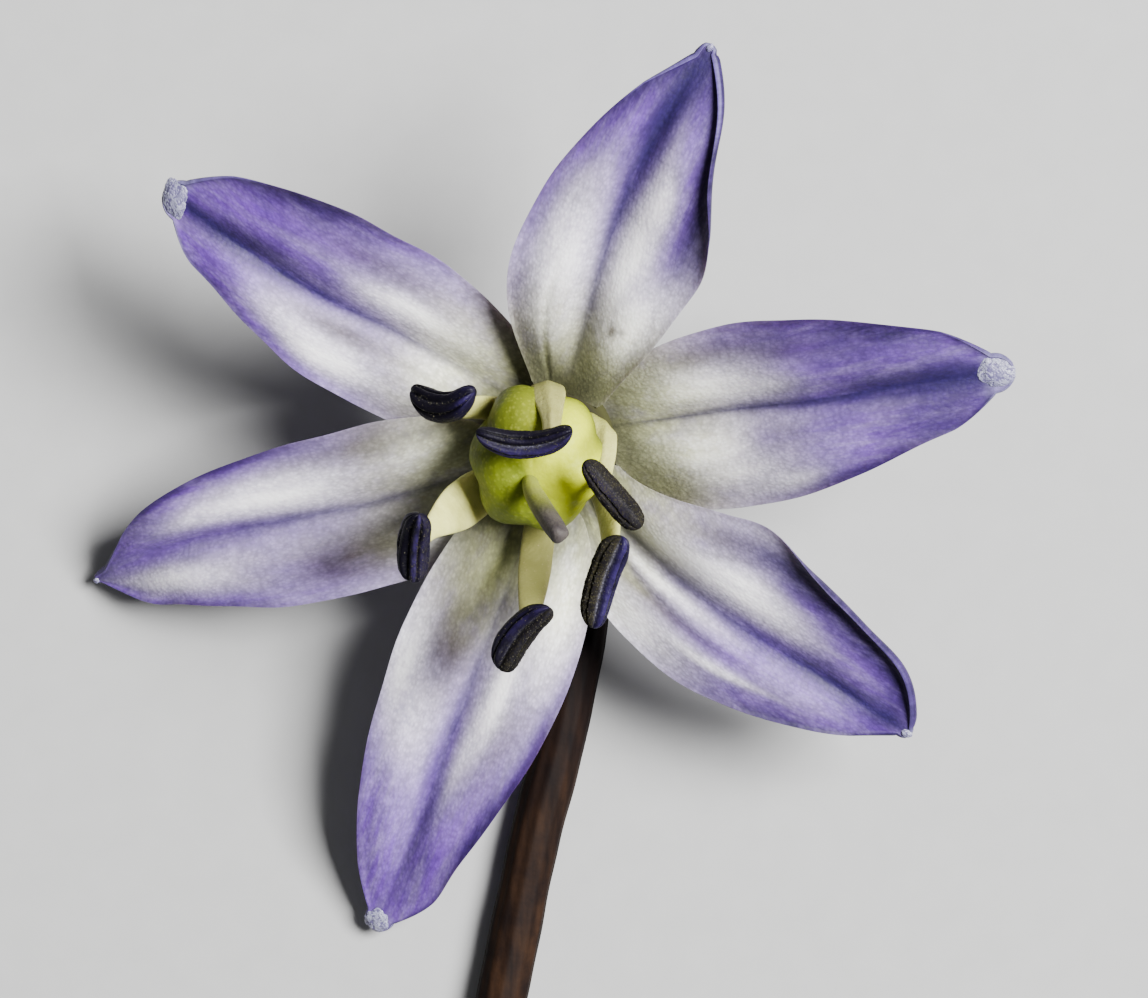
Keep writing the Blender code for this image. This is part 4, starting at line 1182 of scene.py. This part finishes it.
def make_anther(place, stamen, material):
    """The anther's closed skin with masks for its two pouches, its slits and the pollen on it."""
    u = np.sin(0.5 * math.pi * np.linspace(-1, 1, ANTHER_ROWS)[1:-1])
    angle = full_turn(ANTHER_SIDES)
    u, turn = np.broadcast_arrays(u[:, None], np.arctan2(np.sin(angle), np.cos(angle)))
    # Where the violet, partly a painted highlight, is strongest: along the anther and on the front of each
    # pouch.
    spot, width = stamen["glow"]
    glow = bell(u - spot, width) * (0.25 + 0.75 * bell(np.abs(turn) - 0.65, 0.35))
    masks = {
        "dust": (anther_dust(stamen, turn), 0, 0),
        "seam": (stamen["seam"] * bell(turn, 0.15) * (1 - np.abs(u) ** 3), 0, 0),
        "violet": (of_pouches(stamen, "violet", turn) * glow, 0.1, 0.1),
        "slit": (bell(np.abs(turn) - ANTHER_SLIT, 0.13) * (1 - u**4), 0, 0),
    }
    make_tube(
        f"{place}_anther", anther_surface(stamen, u, turn),
        anther_surface(stamen, np.array([-1.0, 1.0]), np.zeros(2)), masks,
        material=material, slot="anther", node=f"anther_{place}")


def make_pollen(place, stamen, index, material):
    """Grains strewn over the groove, the slits and the dusty pouches, half sunk in the skin.

    Each is a small ball, stretched a little along a way of its own.
    """
    chance = np.random.default_rng(POLLEN_SEED + index)
    left, right = stamen["dust"]
    on_pouches = int(POLLEN_ON_POUCH * (left + right))
    groove = GROOVE_SCATTER * chance.normal(size=POLLEN_IN_GROOVE)
    slits = [SLIT_SCATTER * chance.normal(size=POLLEN_IN_SLIT) + side * ANTHER_SLIT for side in (1, -1)]
    pouch = np.where(chance.random(on_pouches) * (left + right) < left, -1, 1)
    turn = np.concatenate([groove, *slits, pouch * chance.uniform(0.1, 1.9, on_pouches)])
    count = len(turn)
    centres = anther_surface(stamen, chance.uniform(-POLLEN_REACH, POLLEN_REACH, count), turn)
    sizes = chance.uniform(*POLLEN_SIZES, count)
    points, quads, triangles = ball(2, 6)
    stretch = 1 + POLLEN_STRETCH * np.random.default_rng(count).uniform(-1, 1, (count, 1, 3))
    grains = centres[:, None] + points * stretch * sizes[:, None, None]
    steps = len(points) * np.arange(count)[:, None, None]
    quads, triangles = (quads + steps).reshape(-1, 4), (triangles + steps).reshape(-1, 3)
    make_piece(f"{place}_pollen", grains.reshape(-1, 3), quads, triangles, material, "anther")


def pollen_skin():
    """Dry grey-brown grains, some nearly white."""
    material, tree, shader = new_material("pollen")
    share = contrast(tree, noise(tree, object_place(tree), 9000.0, 1.0), 0.45, 0.75)
    set_living(tree, shader, mix_colours(tree, share, *POLLEN_GREYS), roughness=0.7)
    return material


def anther_skin():
    """Blue-black velvet with violet on the lit pouches, partly their own colour and partly a painted
    highlight, dark slits and a bloom of olive-grey pollen.
    """
    material, tree, shader = new_material("anther skin")
    skin = add_skin(tree, object_place(tree), cells=16000.0, mottle=2600.0)
    patch = contrast(tree, skin["Patch"], 0.35, 0.65)
    grains = contrast(tree, skin["Tone"], 0.45, 0.72)
    colour = paint(
        tree, ANTHER_BLACK,
        ("violet", ANTHER_VIOLET_HIGHLIGHT, raised(tree, patch, 0.35)),
        ("slit", ANTHER_SLIT_BLACK),
        ("dust", mix_colours(tree, patch, *ANTHER_DUST), raised(tree, grains, 0.25)),
        ("seam", ANTHER_SEAM, raised(tree, grains, 0.3)))
    set_living(tree, shader, colour, roughness=0.5, gloss=0.10)
    tree.links.new(contrast(tree, mask(tree, "dust"), 0.0, 1.0, 0.44, 0.95), shader.inputs["Roughness"])
    add_bump(tree, shader, skin["Height"], distance=0.00001, strength=0.8)
    return material


def make_filament(place, stamen, material):
    """A flat stalk on a Bezier curve from the receptacle to the anther's back. Its section is an ellipse
    with a low keel; its width swells to the belly and narrows to a fine point at the anther."""
    way = around(stamen["foot"])
    start = FILAMENT_RING * way + (GAP - 0.2) * AXIS
    leave = start + stamen["handle"] * unit(AXIS + FILAMENT_OUTWARD * way)
    along, front, _ = anther_ways(stamen)
    behind = 0.5 * ANTHER_DEPTH + 0.4 * ANTHER_BEND + 1.5 * GAP
    end = np.array(stamen["anther"]) + stamen["hold"] * along - behind * front
    arch = end - FILAMENT_ARRIVAL * front + stamen["swing"] * way
    s = np.linspace(0, 1, FILAMENT_ROWS)
    path, tangent = bezier([start, leave, arch, end + FILAMENT_SUNK * front], s)
    twist = math.radians(stamen["twist"]) * smooth(*TWIST_RUN, s)[:, None]
    wide_way = np.cos(twist) * np.cross(AXIS, way) - np.sin(twist) * way
    broadest = stamen["width"]
    swelling = FILAMENT_FOOT_WIDTH + (broadest - FILAMENT_FOOT_WIDTH) * smooth(*SWELL_RUN, s)
    narrowing = FILAMENT_TOP_WIDTH + (broadest - FILAMENT_TOP_WIDTH) * (1 - smooth(*NARROW_RUN, s))
    width = np.where(s < FILAMENT_BELLY, swelling, narrowing)
    width = width * np.sqrt(np.clip(1 - ((s - 0.9) / 0.105) ** 2 * (s > 0.9), 0, 1))
    angle = full_turn(FILAMENT_SIDES)
    keel = 1 + KEEL_HEIGHT * bell(angle - 1.5 * math.pi, KEEL_WIDTH)
    rings = rings_round(
        path, tangent, wide_way,
        0.5 * width[:, None] * np.cos(angle), 0.5 * FILAMENT_THICKNESS * keel * np.sin(angle))
    rings = rings + unevenness(rings, FILAMENT_LUMPS)[..., None] * AXIS
    # The tone is partly the filament's own olive and partly painted shade where the ovary shades it.
    tone = stamen["tone"]
    make_tube(
        f"{place}_filament", rings, [rings[0].mean(axis=0), rings[-1].mean(axis=0)],
        masks={"foot": (1 - smooth(0.0, 0.45, s)[:, None], 1, 0), "tone": (tone, tone, tone)},
        material=material, slot="filament", node=f"filament_{place}")


def filament_skin():
    """Waxy cream, a little green at the foot, olive where the tone says so, partly its own colour and partly
    painted shade from the ovary, with small warm flecks.
    """
    material, tree, shader = new_material("filament skin")
    skin = add_skin(tree, object_place(tree), cells=9000.0, mottle=1500.0)
    colour = paint(
        tree, mix_colours(tree, contrast(tree, skin["Patch"], 0.3, 0.7), *FILAMENT_CREAM),
        ("foot", FILAMENT_GREEN, 0.6), ("tone", FILAMENT_SHADE_OLIVE, 0.8),
        (contrast(tree, skin["Tone"], 0.66, 0.8), FILAMENT_FLECKS, 0.3))
    set_living(tree, shader, colour, roughness=0.42, depth=0.0006, share=0.25)
    add_bump(tree, shader, skin["Height"], distance=0.00002, strength=0.6)
    return material


FILAMENT_SKIN = filament_skin()
ANTHER_SKIN = anther_skin()
POLLEN_SKIN = pollen_skin()
for number, (spot, own) in enumerate(STAMENS.items()):
    form = {**COMMON_STAMEN, **own}
    make_filament(spot, form, FILAMENT_SKIN)
    make_anther(spot, form, ANTHER_SKIN)
    make_pollen(spot, form, number, POLLEN_SKIN)


# The style with its stigma.
# A slim fleshy rod from the dent on the ovary, greenish below and lilac-grey above, ending in a blunt stigma
# of three small rounded lobes.
STYLE_TIP = (0.25, -2.78, 6.0)
STYLE_RADIUS = 0.3
STYLE_HANDLE = 0.75
STYLE_SUNK = 0.15
STYLE_SIDES = 40
STYLE_ROWS = 40
STIGMA_ROWS = 13
STIGMA_START = 0.9
STYLE_COLOURS = ((0.22, 0.25, 0.016), (0.026, 0.021, 0.023))
STYLE_PATCHES = (0.15, 0.135, 0.10)


def make_style():
    """A round rod on a Bezier curve. Three cosine lobes grow towards the stigma, whose end is rounded."""
    start = (GAP + OVARY_HEIGHT - OVARY_DENT_DEPTH - STYLE_SUNK) * AXIS
    tip = np.array(STYLE_TIP)
    lean = unit(tip - start)
    rod = np.linspace(0, STIGMA_START, STYLE_ROWS)
    cap = np.cos(np.linspace(0, 0.5, STIGMA_ROWS + 1)[1:] * math.pi)
    s = np.concatenate([rod, 1 - 0.1 * cap])
    path, tangent = bezier([start, start + STYLE_HANDLE * AXIS, tip - STYLE_HANDLE * lean, tip], s)
    angle = full_turn(STYLE_SIDES)
    rounding = np.sqrt(np.clip(1 - ((s - STIGMA_START) / 0.101) ** 2 * (s > STIGMA_START), 0, 1))
    flare = 0.80 + 0.26 * smooth(0.0, 0.5, s) - 0.16 * smooth(0.72, 1.0, s)
    lobes = 1 + (0.03 + 0.09 * smooth(0.75, 1.0, s))[:, None] * np.cos(3 * angle)
    radius = STYLE_RADIUS * (flare * rounding)[:, None] * lobes
    rings = rings_round(path, tangent, EAST, radius * np.cos(angle), radius * np.sin(angle))
    masks = {"lilac": (smooth(0.2, 0.75, s)[:, None], 0, 1)}
    make_tube(
        "style_rod", rings, [rings[0].mean(axis=0), FOOT + tip], masks,
        material=style_skin(), slot="style", node="style")


def style_skin():
    """Yellow-green that turns lilac-grey towards the stigma, with a fine papillate grain."""
    material, tree, shader = new_material("style skin")
    skin = add_skin(tree, object_place(tree), cells=12000.0, mottle=1800.0)
    colour = paint(
        tree, mix_colours(tree, mask(tree, "lilac"), *STYLE_COLOURS),
        (contrast(tree, skin["Patch"], 0.35, 0.7), STYLE_PATCHES, 0.28))
    set_living(tree, shader, colour, roughness=0.6, gloss=0.15, depth=0.0005, share=0.2)
    add_bump(tree, shader, skin["Height"], distance=0.00002, strength=0.7)
    return material


make_style()
